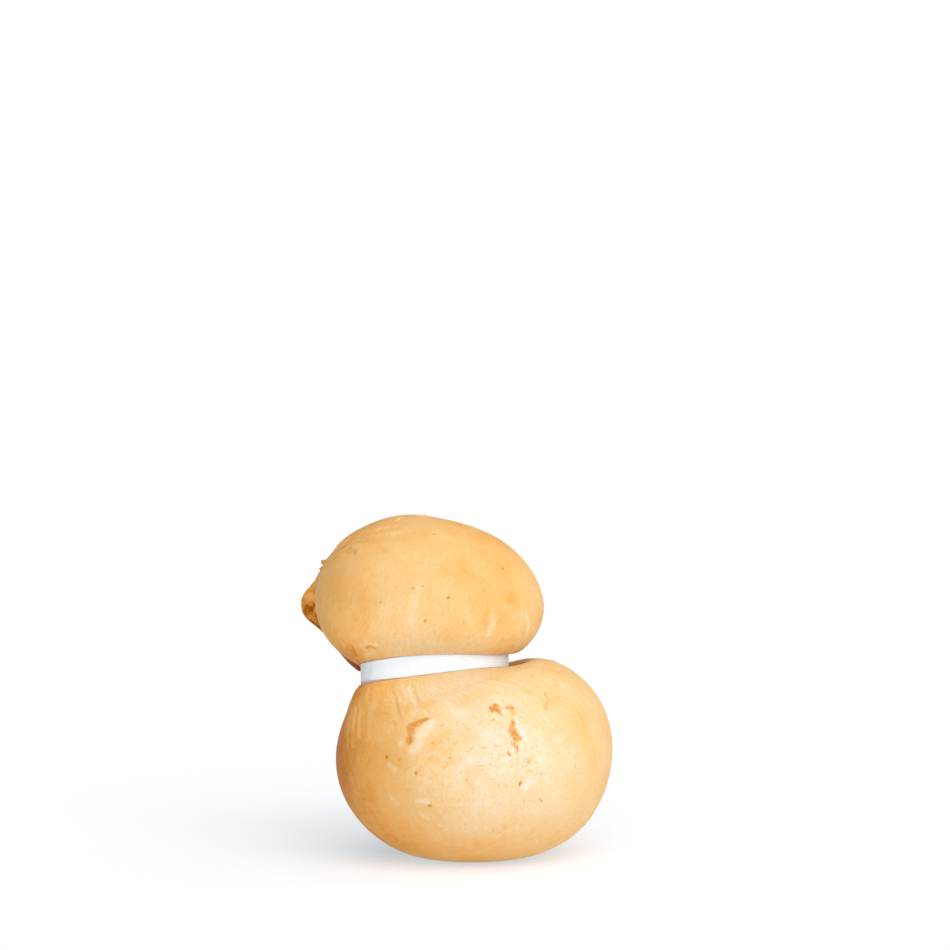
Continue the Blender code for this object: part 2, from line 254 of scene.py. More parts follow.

# Marks on the rind, in rows for each kind. A row is how strong the mark is, and its path: places as seen
# from the front, x, z and half width in mm. A relief's strength is its height in mm, and a groove's is
# below 0. Ridges are also painted paler, a painted highlight, and grooves darker, a painted shade.
MARKS = {
    "stain": (  # brown stains
        # on the left of the belly
        (1.0, (-11.7, 46.6, 0.3), (-13.5, 46.0, 0.72), (-15.4, 45.0, 1.23)),
        (1.0, (-15.4, 45.0, 1.23), (-17.1, 43.9, 1.73), (-17.3, 42.4, 1.05)),
        (0.9, (-17.3, 42.4, 1.05), (-17.7, 40.8, 1.15), (-18.2, 39.1, 1.01)),
        # on the right of the belly
        (1.0, (5.5, 49.3, 0.72), (6.4, 49.4, 1.3), (7.4, 49.9, 0.72)),
        (0.9, (7.4, 49.2, 0.65), (7.9, 48.5, 0.65), (9.1, 47.8, 0.5)),
        (0.75, (10.6, 49.3, 0.47), (11.4, 49.4, 0.97), (11.9, 49.8, 0.54)),
        (0.7, (11.5, 49.2, 0.47), (12.1, 48.4, 0.61), (11.9, 47.3, 0.4)),
        (0.8, (11.6, 46.2, 0.5), (11.9, 45.0, 0.9), (11.9, 43.6, 1.05), (12.5, 42.2, 0.9)),
        (1.0, (12.5, 42.2, 0.79), (13.0, 41.4, 1.01), (13.8, 41.1, 0.58), (14.1, 40.6, 0.32)),
        (0.9, (11.4, 40.0, 0.36), (12.0, 39.7, 0.54), (12.8, 39.1, 0.58), (13.2, 38.2, 0.5),
         (13.3, 37.6, 0.32)),
        (0.85, (10.8, 37.2, 0.4), (11.2, 36.3, 0.43)),
        (0.65, (21.9, 52.5, 0.58), (22.5, 51.3, 0.61), (22.8, 50.4, 0.54)),
        (0.6, (22.0, 49.9, 0.4), (21.9, 48.3, 0.4)),
        (0.6, (25.4, 51.4, 0.32), (25.7, 51.2, 0.32), (26.1, 51.5, 0.3)),
        (0.6, (9.4, 14.5, 0.36), (10.2, 14.0, 0.36), (9.6, 13.5, 0.32)),
        # faint flecks of the belly
        (0.6, (6.5, 46.2, 0.54)), (0.55, (8.0, 44.6, 0.54), (9.5, 44.8, 0.43)), (0.55, (9.1, 51.2, 0.43)),
        (0.5, (10.0, 41.0, 0.4)), (0.5, (14.7, 48.3, 0.32), (15.6, 46.4, 0.32)),
        (0.6, (16.6, 35.5, 0.43), (16.3, 33.0, 0.4)), (0.65, (18.7, 30.8, 0.61), (19.5, 30.5, 0.5)),
        (0.55, (20.8, 30.5, 0.4)), (0.5, (13.4, 35.2, 0.36)), (0.5, (-10.4, 41.6, 0.43)),
        (0.6, (-11.0, 39.5, 0.58)), (0.6, (-8.7, 39.9, 0.47)), (0.65, (-8.5, 44.7, 0.54)),
        (0.5, (-4.7, 38.1, 0.43)), (0.55, (-6.5, 36.9, 0.47), (-6.1, 35.6, 0.4)), (0.5, (-3.0, 30.9, 0.4)),
        (0.6, (-1.5, 29.2, 0.65)), (0.6, (-30.5, 44.6, 0.32), (-29.7, 45.1, 0.32)),
        (0.5, (-23.2, 44.4, 0.43)), (0.5, (-17.4, 32.4, 0.36)), (0.45, (-15.2, 35.6, 0.36)),
        # by the scar at the neck
        (0.8, (-30.4, 65.8, 0.4), (-29.5, 66.1, 0.43), (-28.6, 65.8, 0.36)),
        (0.6, (-33.1, 64.3, 0.36), (-32.7, 62.9, 0.36)),
    ),
    "speck": (  # pits
        # of the head
        (1.0, (9.8, 88.2, 0.58)), (0.7, (-22.3, 83.5, 0.36)), (0.85, (-17.1, 83.7, 0.5)),
        (0.75, (-14.1, 84.4, 0.4)), (0.9, (-6.4, 81.0, 0.5)), (0.7, (-26.5, 79.3, 0.4)),
        (0.7, (-13.7, 73.9, 0.5), (-13.4, 73.6, 0.4)), (0.7, (-2.2, 73.1, 0.4), (-2.0, 72.4, 0.43)),
        (0.6, (-10.8, 98.0, 0.4), (-10.0, 98.0, 0.32)), (0.6, (-0.8, 68.4, 0.4)), (0.5, (7.8, 91.0, 0.4)),
        (0.5, (5.8, 68.5, 0.4)), (0.4, (-29.0, 87.1, 0.36)), (0.45, (-7.6, 71.5, 0.36)),
        # of the body
        (1.0, (-24.9, 34.5, 0.54)), (0.85, (-20.6, 34.5, 0.47)), (0.85, (-15.8, 31.0, 0.5)),
        (1.0, (14.3, 27.6, 0.43), (14.7, 28.1, 0.4)), (0.8, (20.1, 22.9, 0.58), (20.7, 22.3, 0.47)),
        (0.75, (15.6, 22.5, 0.54)), (0.9, (-12.5, 21.4, 0.54), (-12.1, 21.0, 0.5)),
        (0.65, (-29.3, 17.5, 0.36), (-28.8, 17.3, 0.32)), (0.6, (-15.7, 13.5, 0.4)),
        (0.6, (6.3, 13.2, 0.4)), (0.85, (32.7, 18.5, 0.43)), (0.55, (30.5, 31.6, 0.4)),
        (0.75, (7.1, 38.9, 0.36)), (0.5, (3.5, 55.3, 0.36)), (0.5, (-0.4, 52.5, 0.36)),
        (0.45, (18.1, 25.9, 0.36)), (0.4, (-17.3, 9.0, 0.36)), (0.4, (26.1, 7.5, 0.36)),
        # dark lines across the crest
        (0.42, (-36.9, 93.0, 0.42), (-36.3, 92.4, 0.46), (-36.0, 91.9, 0.4)),
        (0.5, (-35.4, 93.8, 0.42), (-34.6, 93.2, 0.5), (-34.0, 92.4, 0.42)),
        (0.35, (-26.2, 94.4, 0.42), (-25.3, 93.8, 0.42)),
    ),
    "pale": (  # pale patches
        # of the body
        (0.9, (-11.5, 45.5, 1.15), (-12.8, 43.4, 2.02), (-14.5, 41.8, 2.38), (-15.4, 39.1, 1.87)),
        (0.85, (-16.9, 37.4, 1.95)), (0.8, (-20.4, 39.2, 1.37)), (0.5, (-23.8, 42.1, 0.86)),
        (0.8, (-22.0, 31.2, 1.08), (-23.6, 32.6, 1.15)), (0.5, (-17.1, 31.2, 0.86)),
        (0.7, (-18.8, 50.0, 1.23)), (0.7, (-16.7, 47.9, 1.08), (-14.9, 48.8, 1.08)),
        (0.9, (-15.0, 22.6, 1.51), (-12.6, 22.6, 1.23)), (0.7, (-14.7, 18.1, 1.15), (-12.5, 17.1, 0.94)),
        (0.6, (-23.9, 23.1, 0.94), (-21.9, 21.1, 0.94)),
        (0.9, (13.1, 46.1, 1.01), (14.6, 43.5, 1.08), (15.6, 40.8, 1.08)), (0.8, (9.6, 48.4, 0.94)),
        (0.7, (10.1, 42.3, 0.86)), (0.8, (11.9, 37.4, 0.79)), (0.9, (15.5, 26.8, 1.37), (17.2, 28.5, 1.3)),
        (0.48, (19.2, 41.7, 2.16), (21.4, 36.1, 2.52), (20.2, 33.3, 1.8)), (0.55, (26.0, 40.2, 2.52)),
        (0.6, (16.5, 52.1, 1.66)), (0.6, (-6.4, 49.8, 2.88), (-2.6, 47.8, 3.24)), (0.5, (-0.3, 34.6, 3.6)),
        (0.5, (5.3, 42.6, 2.52)),
        (0.7, (-6.9, 21.9, 0.65), (-3.8, 21.8, 0.65), (-0.2, 21.9, 0.72), (5.5, 22.2, 0.65)),
        (0.6, (26.9, 54.1, 1.59)), (0.5, (35.2, 47.4, 1.59)),
        # pleats under the tape
        (0.8, (-18.4, 54.1, 0.58), (-17.6, 52.1, 0.72), (-16.8, 50.8, 0.72), (-16.0, 49.7, 0.65)),
        (0.6, (-19.9, 55.0, 0.47), (-19.2, 52.9, 0.58), (-18.1, 50.8, 0.58)),
        (0.5, (-22.3, 52.7, 0.43), (-21.9, 50.5, 0.47)),
        # of the head
        (0.75, (6.5, 76.4, 0.94), (6.2, 74.4, 1.44), (6.1, 71.8, 1.59), (5.4, 69.7, 1.23)),
        (0.5, (5.5, 75.5, 0.5), (4.8, 74.4, 0.47)),
        (0.7, (16.4, 74.6, 0.72), (17.0, 72.4, 1.15), (16.9, 69.9, 1.08), (16.3, 68.2, 0.79)),
        (0.5, (18.8, 83.0, 1.01), (19.9, 79.0, 1.08)), (0.55, (-10.1, 79.0, 1.37), (-9.1, 76.8, 1.37)),
        (0.5, (-18.1, 73.7, 2.52), (-16.3, 79.6, 2.88), (-14.9, 84.4, 2.52)),
        (0.4, (10.8, 77.9, 0.94), (11.7, 76.8, 0.86)), (0.4, (-25.4, 75.7, 2.52)),
        (0.35, (-8.4, 91.1, 3.24)), (0.5, (-32.3, 74.9, 0.58), (-31.8, 75.9, 0.43)),
        (0.75, (-31.3, 63.2, 1.08), (-29.0, 63.8, 1.15)),
    ),
    "blush": (  # soft darker places
        (0.6, (-2.0, 88.5, 4.32), (-7.0, 88.4, 3.24)), (0.7, (11.2, 80.1, 1.8), (13.0, 78.9, 1.8)),
        (0.3, (-10.0, 69.3, 3.6), (-4.8, 69.1, 3.24)), (0.45, (4.6, 74.8, 1.8), (4.6, 71.6, 1.44)),
        (0.6, (-12.1, 50.5, 1.98), (-14.6, 49.3, 1.3)), (0.4, (-18.1, 48.3, 1.08)),
        (0.55, (-8.7, 38.7, 4.32), (-6.0, 35.0, 2.5)), (0.35, (-21.5, 38.3, 4.32), (-20.0, 33.7, 3.24)),
        (0.5, (32.4, 45.5, 2.88), (33.9, 39.7, 2.52)), (0.4, (-26.7, 50.4, 2.88), (-24.9, 46.2, 2.16)),
        (0.4, (-30.8, 79.5, 3.6), (-31.9, 73.9, 3.24)), (0.5, (20.5, 74.2, 1.44), (20.5, 69.0, 1.44)),
        (0.6, (29.7, 55.2, 1.08), (26.4, 57.1, 0.94), (22.7, 58.3, 0.86)),
        (0.4, (-6.2, 98.6, 3.6), (2.7, 96.5, 3.6)), (0.35, (-1.1, 52.3, 2.52), (5.5, 53.2, 2.16)),
    ),
    "relief": (  # ridges and grooves
        # pleats and creases of the body
        (-0.22, (-24.0, 54.7, 0.58), (-23.0, 53.0, 0.61), (-22.3, 51.5, 0.58), (-21.9, 49.3, 0.58),
         (-21.3, 47.4, 0.58), (-20.9, 45.9, 0.54)),
        (-0.18, (-22.9, 45.1, 0.58), (-22.1, 44.1, 0.58)),
        (0.16, (-22.5, 53.3, 0.61), (-21.0, 51.5, 0.61), (-20.8, 49.5, 0.58)),
        (0.16, (-18.4, 54.1, 0.65), (-17.6, 52.1, 0.65), (-16.0, 49.7, 0.65)),
        (-0.16, (-17.3, 54.3, 0.58), (-16.4, 52.0, 0.58), (-15.4, 50.1, 0.58)),
        (0.12, (-16.2, 54.6, 0.58), (-15.3, 53.3, 0.58), (-14.4, 51.1, 0.58)),
        (0.14, (-20.9, 55.2, 0.58), (-19.9, 53.3, 0.58), (-19.1, 51.1, 0.58)),
        # upright wrinkles at the left
        (0.4, (-33.9, 46.6, 0.92), (-34.5, 43.8, 0.99), (-34.7, 41.4, 0.99), (-34.7, 36.6, 0.85)),
        (0.4, (-35.1, 44.9, 0.85), (-35.7, 42.8, 0.92), (-36.1, 39.2, 0.92), (-36.3, 35.9, 0.85)),
        (0.3, (-32.4, 46.1, 0.85), (-33.0, 43.5, 0.92), (-33.1, 39.6, 0.92)),
        (0.24, (-30.8, 53.2, 0.92), (-31.0, 49.3, 0.99)), (0.24, (-32.5, 52.3, 0.92), (-33.0, 48.4, 0.99)),
        (0.3, (-36.1, 44.1, 0.85), (-37.0, 40.7, 0.92), (-37.4, 36.1, 0.92)),
        (0.18, (-29.5, 48.4, 1.1), (-30.1, 44.0, 1.1), (-30.4, 39.5, 1.1)),
        (0.2, (-28.4, 53.0, 1.1), (-28.5, 49.0, 1.1)),
        # creases of the shoulder and the lower right
        (0.22, (24.0, 58.6, 0.61), (26.5, 57.4, 0.65), (29.1, 55.8, 0.61)),
        (-0.24, (24.0, 58.9, 0.61), (26.6, 57.9, 0.65), (29.6, 56.2, 0.61), (31.5, 54.7, 0.54)),
        (-0.16, (20.4, 58.8, 0.65), (24.2, 57.2, 0.65), (27.5, 55.6, 0.61)),
        (-0.16, (12.9, 59.6, 0.61), (15.6, 59.2, 0.61), (18.0, 59.0, 0.58)),
        (-0.26, (36.1, 12.8, 0.65), (33.3, 9.5, 0.65), (30.2, 7.0, 0.65), (24.9, 3.9, 0.58)),
        (0.16, (35.4, 12.0, 0.58), (32.2, 8.6, 0.58), (28.3, 5.7, 0.54)),
        (-0.2, (36.6, 14.0, 0.65), (32.1, 10.3, 0.65), (27.3, 7.5, 0.61)),
        (0.14, (-0.1, 7.0, 0.5), (3.8, 8.4, 0.54), (6.8, 10.1, 0.54), (8.5, 11.7, 0.47)),
        (-0.12, (0.0, 5.9, 0.5), (4.4, 7.3, 0.54), (7.5, 9.1, 0.54)),
        (-0.14, (-35.1, 29.1, 0.65), (-33.9, 24.8, 0.65), (-31.6, 20.9, 0.61)),
        # scar and crease at the neck
        (0.45, (-32.5, 65.3, 0.5), (-32.0, 66.2, 0.58), (-31.2, 66.7, 0.54)),
        (0.35, (-30.2, 66.9, 0.54), (-29.1, 66.7, 0.54), (-28.0, 66.1, 0.47)),
        (-0.45, (-30.8, 65.6, 0.54), (-29.6, 65.9, 0.58), (-28.5, 65.4, 0.5)),
        (0.18, (-30.7, 64.4, 0.58), (-28.9, 64.7, 0.58)),
        (-0.22, (-35.4, 66.1, 0.54), (-34.4, 64.0, 0.65), (-33.4, 61.5, 0.65), (-33.2, 57.2, 0.58)),
        (0.18, (-34.6, 66.3, 0.58), (-33.3, 64.3, 0.61), (-32.4, 62.0, 0.58)),
        # bump over the crest, and small ridges whose painted highlight makes them glints
        (0.5, (-16.1, 102.2, 0.58), (-15.1, 102.2, 0.65), (-13.9, 102.1, 0.54)),
        (0.35, (-22.5, 101.2, 0.5), (-21.7, 101.5, 0.54), (-21.0, 101.7, 0.47)),
        (-0.35, (-23.0, 100.9, 0.5), (-22.3, 101.1, 0.54)), (0.25, (-27.9, 98.7, 0.5), (-27.1, 99.1, 0.5)),
        # wrinkles across the crest
        (-0.3, (-37.8, 93.2, 0.7), (-36.9, 92.8, 0.75), (-36.3, 92.3, 0.7)),
        (-0.36, (-35.9, 93.7, 0.7), (-34.8, 93.3, 0.75), (-34.0, 92.6, 0.7)),
        (0.24, (-35.0, 94.0, 0.7), (-33.8, 93.6, 0.75), (-33.1, 92.9, 0.7)),
        (-0.2, (-26.5, 94.5, 0.54), (-25.3, 93.9, 0.54)),
        # streaks of the facet behind the crest
        (0.24, (-37.0, 95.5, 0.58), (-31.7, 97.9, 0.61), (-25.1, 99.7, 0.58)),
        (-0.24, (-38.3, 94.6, 0.58), (-32.9, 96.7, 0.61), (-26.9, 98.7, 0.61), (-21.6, 99.8, 0.58)),
        (0.21, (-38.6, 93.5, 0.58), (-33.2, 96.2, 0.61), (-27.0, 97.7, 0.58), (-21.3, 98.7, 0.58)),
        (-0.18, (-29.4, 99.5, 0.58), (-24.1, 100.6, 0.58), (-18.7, 101.0, 0.54)),
        (0.18, (-25.1, 97.9, 0.58), (-21.6, 98.5, 0.58), (-17.7, 99.0, 0.58)),
    ),
}
# Marks of the side that faces away: how many, and their least and largest half width in mm.
BACK_MARKS = (("stain", 9, (0.5, 1.1)), ("speck", 40, (0.4, 0.8)), ("pale", 16, (0.8, 3.0)),
              ("blush", 12, (1.5, 4.0)))
BACK_LOBES = np.array((((0.0, 32.0), (34.0, 24.0)), ((-12.5, 80.0), (27.0, 18.0))))  # middle, half
BODY_CHANCE = 0.6  # chance that a mark of the back is on the body
BACK_STRENGTHS = (0.4, 0.9)
SIDES_MEET = 4.0 * MM  # how far marks reach past the middle of the sides
MARK_MARGIN = 3.0  # half widths past which a mark is too faint to work out
MARK_SAMPLES = 5  # samples from one place of its path to the next
# Ragged edges of the marks: how far waves shift them, the waves' length and their first seed.
RAGGED = ((0.30 * MM, 3.6 * MM, 5), (0.18 * MM, 1.7 * MM, 15))

TAPE_GAP = 0.1 * MM  # between the tape's edges and the cheese
TAPE_NEAR = 0.3 * MM  # from the waist to the inner turn
TAPE_FAR = 1.1 * MM  # from the waist to the outer face
TAPE_BETWEEN = 0.04 * MM  # between the turns
TAPE_RISE = 0.7 * MM  # how far the outer turn's lower edge rises at the front left
RISE_START = (60.0, 60.0)  # and the angles where, in degrees
RISE_END = (215.0, 35.0)
TAPE_COLUMNS = 360
TAPE_CROWDING = 0.3
TAPE_CROWDED_AT = math.radians(225.0)
TAPE_ROWS = 61  # rows of points across the outer face
TAPE_ROUNDED = 0.07  # share of the half width that is rounded, and how far it falls back
TAPE_ROUNDING = 0.12 * MM
TAPE_BEND = -31.0 * MM  # place of the bend near the tape's left end
BEND_SLANT = 1.2 * MM  # how far the bend runs to the right on its way up
BEND_REACH = 0.7 * MM
STRAND_RADIUS = 0.3  # size of the ring of places where the tape's streaks are read
STRAND_HEIGHT = 6.0
# Painted shade on the tape: the ramp across its left end, and the line along the bend.
TAPE_SHADE_END = (-8.0, -26.0)  # ramp across, in mm, over which the tape's left end turns grey
BEND_SHADE_LINE = (51.0 * MM, 0.2, 0.35 * MM)  # level, slant and reach of the grey line of the bend

# Camera: where the photograph was taken from.
IMAGE_SIDE = 950
FOCAL_PIXELS = 3833.0
SENSOR_WIDTH = 36.0
CAMERA_DISTANCE = 1.15
CAMERA_HEIGHT_ANGLE = math.radians(8.0)
AIM_POINT = Vector((0.0012, 0.0, 0.052))
AIM_ROW = 683.4  # pixel row where the aim point shows
SEEN_DISTANCE = 50.0

# Studio: the floor's rings and how far it lies under the foot, and where the backdrop ends.
FLOOR_SIDES = 96
FLOOR_RADII = (0.2, 1.0, 4.0, 12.0)
FLOOR_DROP = 0.05 * MM
HORIZON = (math.radians(3.0), math.radians(7.0))
WHITE = (1.0, 1.0, 1.0, 1.0)


# ---- Shape ----

def eased(share):
    """0 to 1 with a level start and end."""
    share = np.clip(share, 0.0, 1.0)
    return share * share * (3.0 - 2.0 * share)


def ramp(value, start, length):
    """0 to 1, eased, from the start on over the length, which is below 0 towards smaller values."""
    return eased((value - start) / length)


def strip(behind, rise, end, fall):
    """1 in a strip behind a line, eased in over the rise and out again after the end."""
    return eased(behind / rise) * (1.0 - eased((behind - end) / fall))


def bell(offset, reach):
    """1 at no offset, falling away to both sides within about twice the reach."""
    return np.exp(-(offset / reach) ** 2)


def soft_spots(x, z, spots):
    """The sum of round spots: how much * bell across * bell up, in mm."""
    return sum(much * bell(x - across, wide) * bell(z - level, high)
               for across, level, wide, high, much in spots)


def between_knots(values, stations):
    """Values given at the knots, eased from knot to knot."""
    values = np.asarray(values, dtype=float)
    span = np.minimum(stations.astype(int), len(values) - 2)
    return values[span] + (values[span + 1] - values[span]) * eased(stations - span)


def rail_points(rail, stations):
    """Points of a rail: one cubic curve for each span, tangent to the headings of its knots."""
    points = np.zeros((len(stations), 2))
    spans = np.minimum(stations.astype(int), len(rail) - 2)
    for span, (low, high) in enumerate(zip(rail, rail[1:])):
        here = spans == span
        share = (stations[here] - span)[:, None]
        start = np.array((low.x, low.z))
        end = np.array((high.x, high.z))
        chord = np.linalg.norm(end - start)
        leave, arrive = math.radians(low.heading), math.radians(high.heading)
        first = start + low.after * chord * np.array((math.cos(leave), math.sin(leave)))
        second = end - high.before * chord * np.array((math.cos(arrive), math.sin(arrive)))
        rest = 1.0 - share
        points[here] = (rest ** 3 * start + 3.0 * rest ** 2 * share * first
                        + 3.0 * rest * share ** 2 * second + share ** 3 * end)
    return points * MM


def section_reach(stations, angles):
    """Distance of a section's curve from its centre, where the half width and depth are 1."""
    left = np.clip(-np.cos(angles), 0.0, 1.0)
    front = np.clip(0.5 - np.sin(angles), 0.0, 1.0)
    corner = eased(CORNER_GAIN * left * front)
    plain_power = between_knots([s.power for s in SECTIONS], stations)[:, None]
    corner_power = between_knots([s.corner for s in SECTIONS], stations)[:, None]
    power = plain_power + (corner_power - plain_power) * corner
    return (np.abs(np.cos(angles)) ** power + np.abs(np.sin(angles)) ** power) ** (-1.0 / power)


def lip_sag(stations, angles):
    """How far the lip of the head hangs down round its edge."""
    near_lip = eased(stations - ROOF) * (1.0 - ramp(stations, LIP, LIP_FADE))
    degrees = np.degrees(angles) % 360.0
    drops = [drop * np.exp(-((degrees - angle) / spread) ** 2) for angle, spread, drop in LIP_SAGS]
    return near_lip[:, None] * sum(drops) * MM


def loft(stations, angles, shares=1.0, outset=0.0):
    """Points of the plain cheese, one row for each station and one column for each angle.

    A section is a rounded closed curve from rail to rail, tipped up at the front. shares shrinks
    it about the middle of the foot, and outset widens it all round.
    """
    shares = np.broadcast_to(shares, stations.shape)[:, None]
    right = rail_points(RIGHT_RAIL, stations) * shares
    left = rail_points(LEFT_RAIL, stations) * shares
    centre = (right + left) / 2.0
    half = (right - left) / 2.0
    width = np.linalg.norm(half, axis=1, keepdims=True)
    along = half / width
    deep = width * between_knots([s.depth for s in SECTIONS], stations)[:, None] + outset
    tip = np.radians(between_knots([s.tip for s in SECTIONS], stations))[:, None]
    back = between_knots([s.back for s in SECTIONS], stations)[:, None] * MM
    reach = section_reach(stations, angles)
    across = reach * np.cos(angles) * (width + outset)
    inward = reach * np.sin(angles) * deep
    x = centre[:, :1] + across * along[:, :1]
    y = back + inward * np.cos(tip)
    z = centre[:, 1:] + across * along[:, 1:] - inward * np.sin(tip) - lip_sag(stations, angles)
    return np.stack((x, y, z), axis=-1)


def smooth_path(pairs, steps=12):
    """A smooth curve (Catmull-Rom) through the given rows of numbers."""
    knots = np.asarray(pairs, dtype=float)
    padded = np.vstack((2 * knots[0] - knots[1], knots, 2 * knots[-1] - knots[-2]))
    share = np.linspace(0.0, 1.0, steps, endpoint=False)[:, None]
    pieces = []
    for a, b, c, d in zip(padded, padded[1:], padded[2:], padded[3:]):
        pieces.append(0.5 * (2 * b + (c - a) * share + (2 * a - 5 * b + 4 * c - d) * share ** 2
                             + (3 * b - a - 3 * c + d) * share ** 3))
    return np.vstack(pieces + [knots[-1:]])


def place_on_line(points, line):
    """For each point: how far along the line it lies, in samples, and its offset from the line."""
    squares = (points ** 2).sum(axis=1)[:, None] + (line ** 2).sum(axis=1) - 2.0 * points @ line.T
    nearest = squares.argmin(axis=1)
    steps = np.gradient(line, axis=0)
    lengths = np.linalg.norm(steps, axis=1)
    tangents = steps / lengths[:, None]
    offset = points - line[nearest]
    ahead = np.einsum("ij,ij->i", offset, tangents[nearest])
    held = np.clip(ahead, -lengths[nearest], lengths[nearest])
    offset = offset - held[:, None] * tangents[nearest]
    place = np.clip(nearest + held / lengths[nearest], 0.0, len(line) - 1.0)
    return place, offset, tangents[nearest]


def waves(points, length, seed, count=14):
    """Smooth unevenness from -1 to 1: the mean of plane waves in seeded random directions."""
    draw = np.random.default_rng(seed)
    directions = draw.normal(size=(count, 3))
    directions /= np.linalg.norm(directions, axis=1, keepdims=True)
    turns = 2.0 * math.pi / (length * draw.uniform(*WAVE_SPREAD, count))
    phases = draw.uniform(0.0, 2.0 * math.pi, count)
    total = np.zeros(len(points))
    for direction, turn, phase in zip(directions, turns, phases):
        total += np.sin(points @ direction * turn + phase)
    return total / math.sqrt(count) * WAVE_GAIN


def ring_angles(count, crowding, towards):
    """Angles round a section, closer together towards one side."""
    even = np.arange(count) * 2.0 * math.pi / count
    return even + crowding * np.sin(even - towards + math.pi)


def lump_relief(points, depth):
    """Slow waves in three directions, which leave the cheese slightly uneven."""
    x, y, z = (points / LUMP_LENGTH * 2.0 * math.pi).T
    slow = np.sin(x + 0.6 * z) * np.cos(0.8 * y - 0.5) + np.sin(0.7 * z - y + 1.0) * np.cos(x - 2.0)
    return depth * 0.5 * slow


def wrinkle_relief(points, angles, settings):
    """Upright wrinkles on the upper left of the body, and broad fibres round both lobes.

    Each is a sine of the angle round the cheese, with its phase pulled about by slow waves.
    """
    degrees = np.degrees(angles) % 360.0
    level = points[:, 2] / MM
    phase = degrees * (2.0 * math.pi / WRINKLE_STEP) + 3.4 * waves(points, 20.0 * MM, 11)
    strength = 0.7 + 0.5 * waves(points, 9.0 * MM, 12)
    for value, (middle, reach) in zip((degrees, level), WRINKLES_AT):
        strength *= bell(value - middle, reach)
    upright = settings.wrinkle_depth * strength * np.sin(phase)
    phase = degrees * (2.0 * math.pi / FIBRE_STEP) + 3.0 * waves(points, 16.0 * MM, 13)
    strength = bell(level - FIBRES_AT[0], FIBRES_AT[1]) * (0.6 + 0.5 * waves(points, 7.0 * MM, 14))
    return upright + settings.fibre_depth * strength * np.sin(phase)


# Where points lie by the fold: how far behind its path, and the path's lift, its level, its angle
# in degrees and how many samples are left to its end.
FoldPlace = namedtuple("FoldPlace", "behind lift level angle left")


def fold_place(points, outward):
    """Where each point lies by the fold's path."""
    path = smooth_path(FOLD_PATH)
    angles = np.radians(path[:, 1])
    line = np.array([loft(path[i:i + 1, 0], angles[i:i + 1])[0, 0] for i in range(len(path))])
    place, offset, tangent = place_on_line(points, line)
    side = np.einsum("ij,ij->i", np.cross(tangent, offset), outward)
    behind = np.linalg.norm(offset, axis=1) * np.sign(side)
    lift, level, angle = (np.interp(place, np.arange(len(path)), part)
                          for part in (path[:, 2], line[:, 2], path[:, 1]))
    return FoldPlace(behind, lift * MM, level, angle, len(path) - 1 - place)


def knob_face(points, fold, raised, knob):
    """The creases down the face of the knob: their depth, and the painted shade of the face.

    A crease is a bell about its course, which gives its level for how far the rind stands out. It ends at
    the rim. The face has painted shade all over, partly for its smoke, more below the first crease and most
    in the creases.
    """
    front = ramp(fold.angle, *FLANK_TURN) * strip(fold.behind, *KNOB_STRIP)
    face = front * eased(knob / KNOB_FACE)
    short_of_rim = 1.0 - ramp(raised, *KNOB_RIM)
    courses = [np.interp(raised, np.array(stand) * MM, np.array(levels) * MM)
               for stand, levels, _ in KNOB_CREASES]
    creases = [share * face * bell(fold.level - course, CREASE_HALF)
               for course, (_, _, share) in zip(courses, KNOB_CREASES)]
    depth = CREASE_DEPTH * short_of_rim * sum(creases)
    dark = FOLD_PAINTED_SHADES["creases"] * np.max(creases, axis=0) * (0.4 + 0.6 * short_of_rim)
    dark += FOLD_PAINTED_SHADES["below"] * face * ramp(fold.level - courses[0], *BELOW_CREASE)
    uneven = 1.0 + 0.5 * waves(points, 3.0 * MM, 41)
    return depth, dark + FOLD_PAINTED_SHADES["knob"] * front * eased(knob / KNOB_SHADED) * uneven


def torn_edge(points, fold):
    """How far the teeth of the torn edge over the knob stand out, each a bell about its level."""
    level = points[:, 2] - TOOTH_WANDER * waves(points, 3.5 * MM, 37)
    teeth = sum(out * bell(level - height * MM, half * MM) for height, half, out in TEETH)
    return teeth * MM * strip(fold.behind, *TOOTH_STRIP)


def underside_painted_shade(points, fold):
    """Painted shade on the fold's underside: more in the line where it tucks in, and low on the head."""
    under = ramp(fold.angle, *FLANK_TURN) * strip(fold.behind, *UNDER_STRIP)
    uneven = 0.8 + 0.4 * waves(points, 4.0 * MM, 31)
    return under * (FOLD_PAINTED_SHADES["under"] * uneven
                    + FOLD_PAINTED_SHADES["tuck"] * bell(fold.behind - TUCK[0], TUCK[1])
                    + FOLD_PAINTED_SHADES["low"] * ramp(fold.level, *LOW_HEAD))


def crest_fields(fold, settings):
    """The crest's relief, the painted shade and highlight of its lines, and how far each point is in the
    facet.

    The rind swells towards the crest from the front, and is hollow behind it.
    """
    behind = fold.behind
    near_end = eased(fold.left / CREST_FADE)
    swelling = np.where(behind < 0.0, np.exp(behind / CREST_SWELL[0]), bell(behind, CREST_SWELL[1]))
    hollow = eased(behind / CREST_HOLLOW[0]) * bell(behind, CREST_HOLLOW[1])
    relief = settings.crest_lift * swelling - settings.crest_hollow * hollow
    edge = ramp(fold.angle, *EDGE_TURN) * near_end
    lines = sum(dark * bell(behind - at * MM, reach * MM) for at, reach, dark in CREST_SHADE_LINES)
    facet = edge * eased(behind / MM) * bell(behind, FACET_REACH)
    return ramp(fold.angle, *CREST_TURN) * near_end * relief, edge * lines, facet


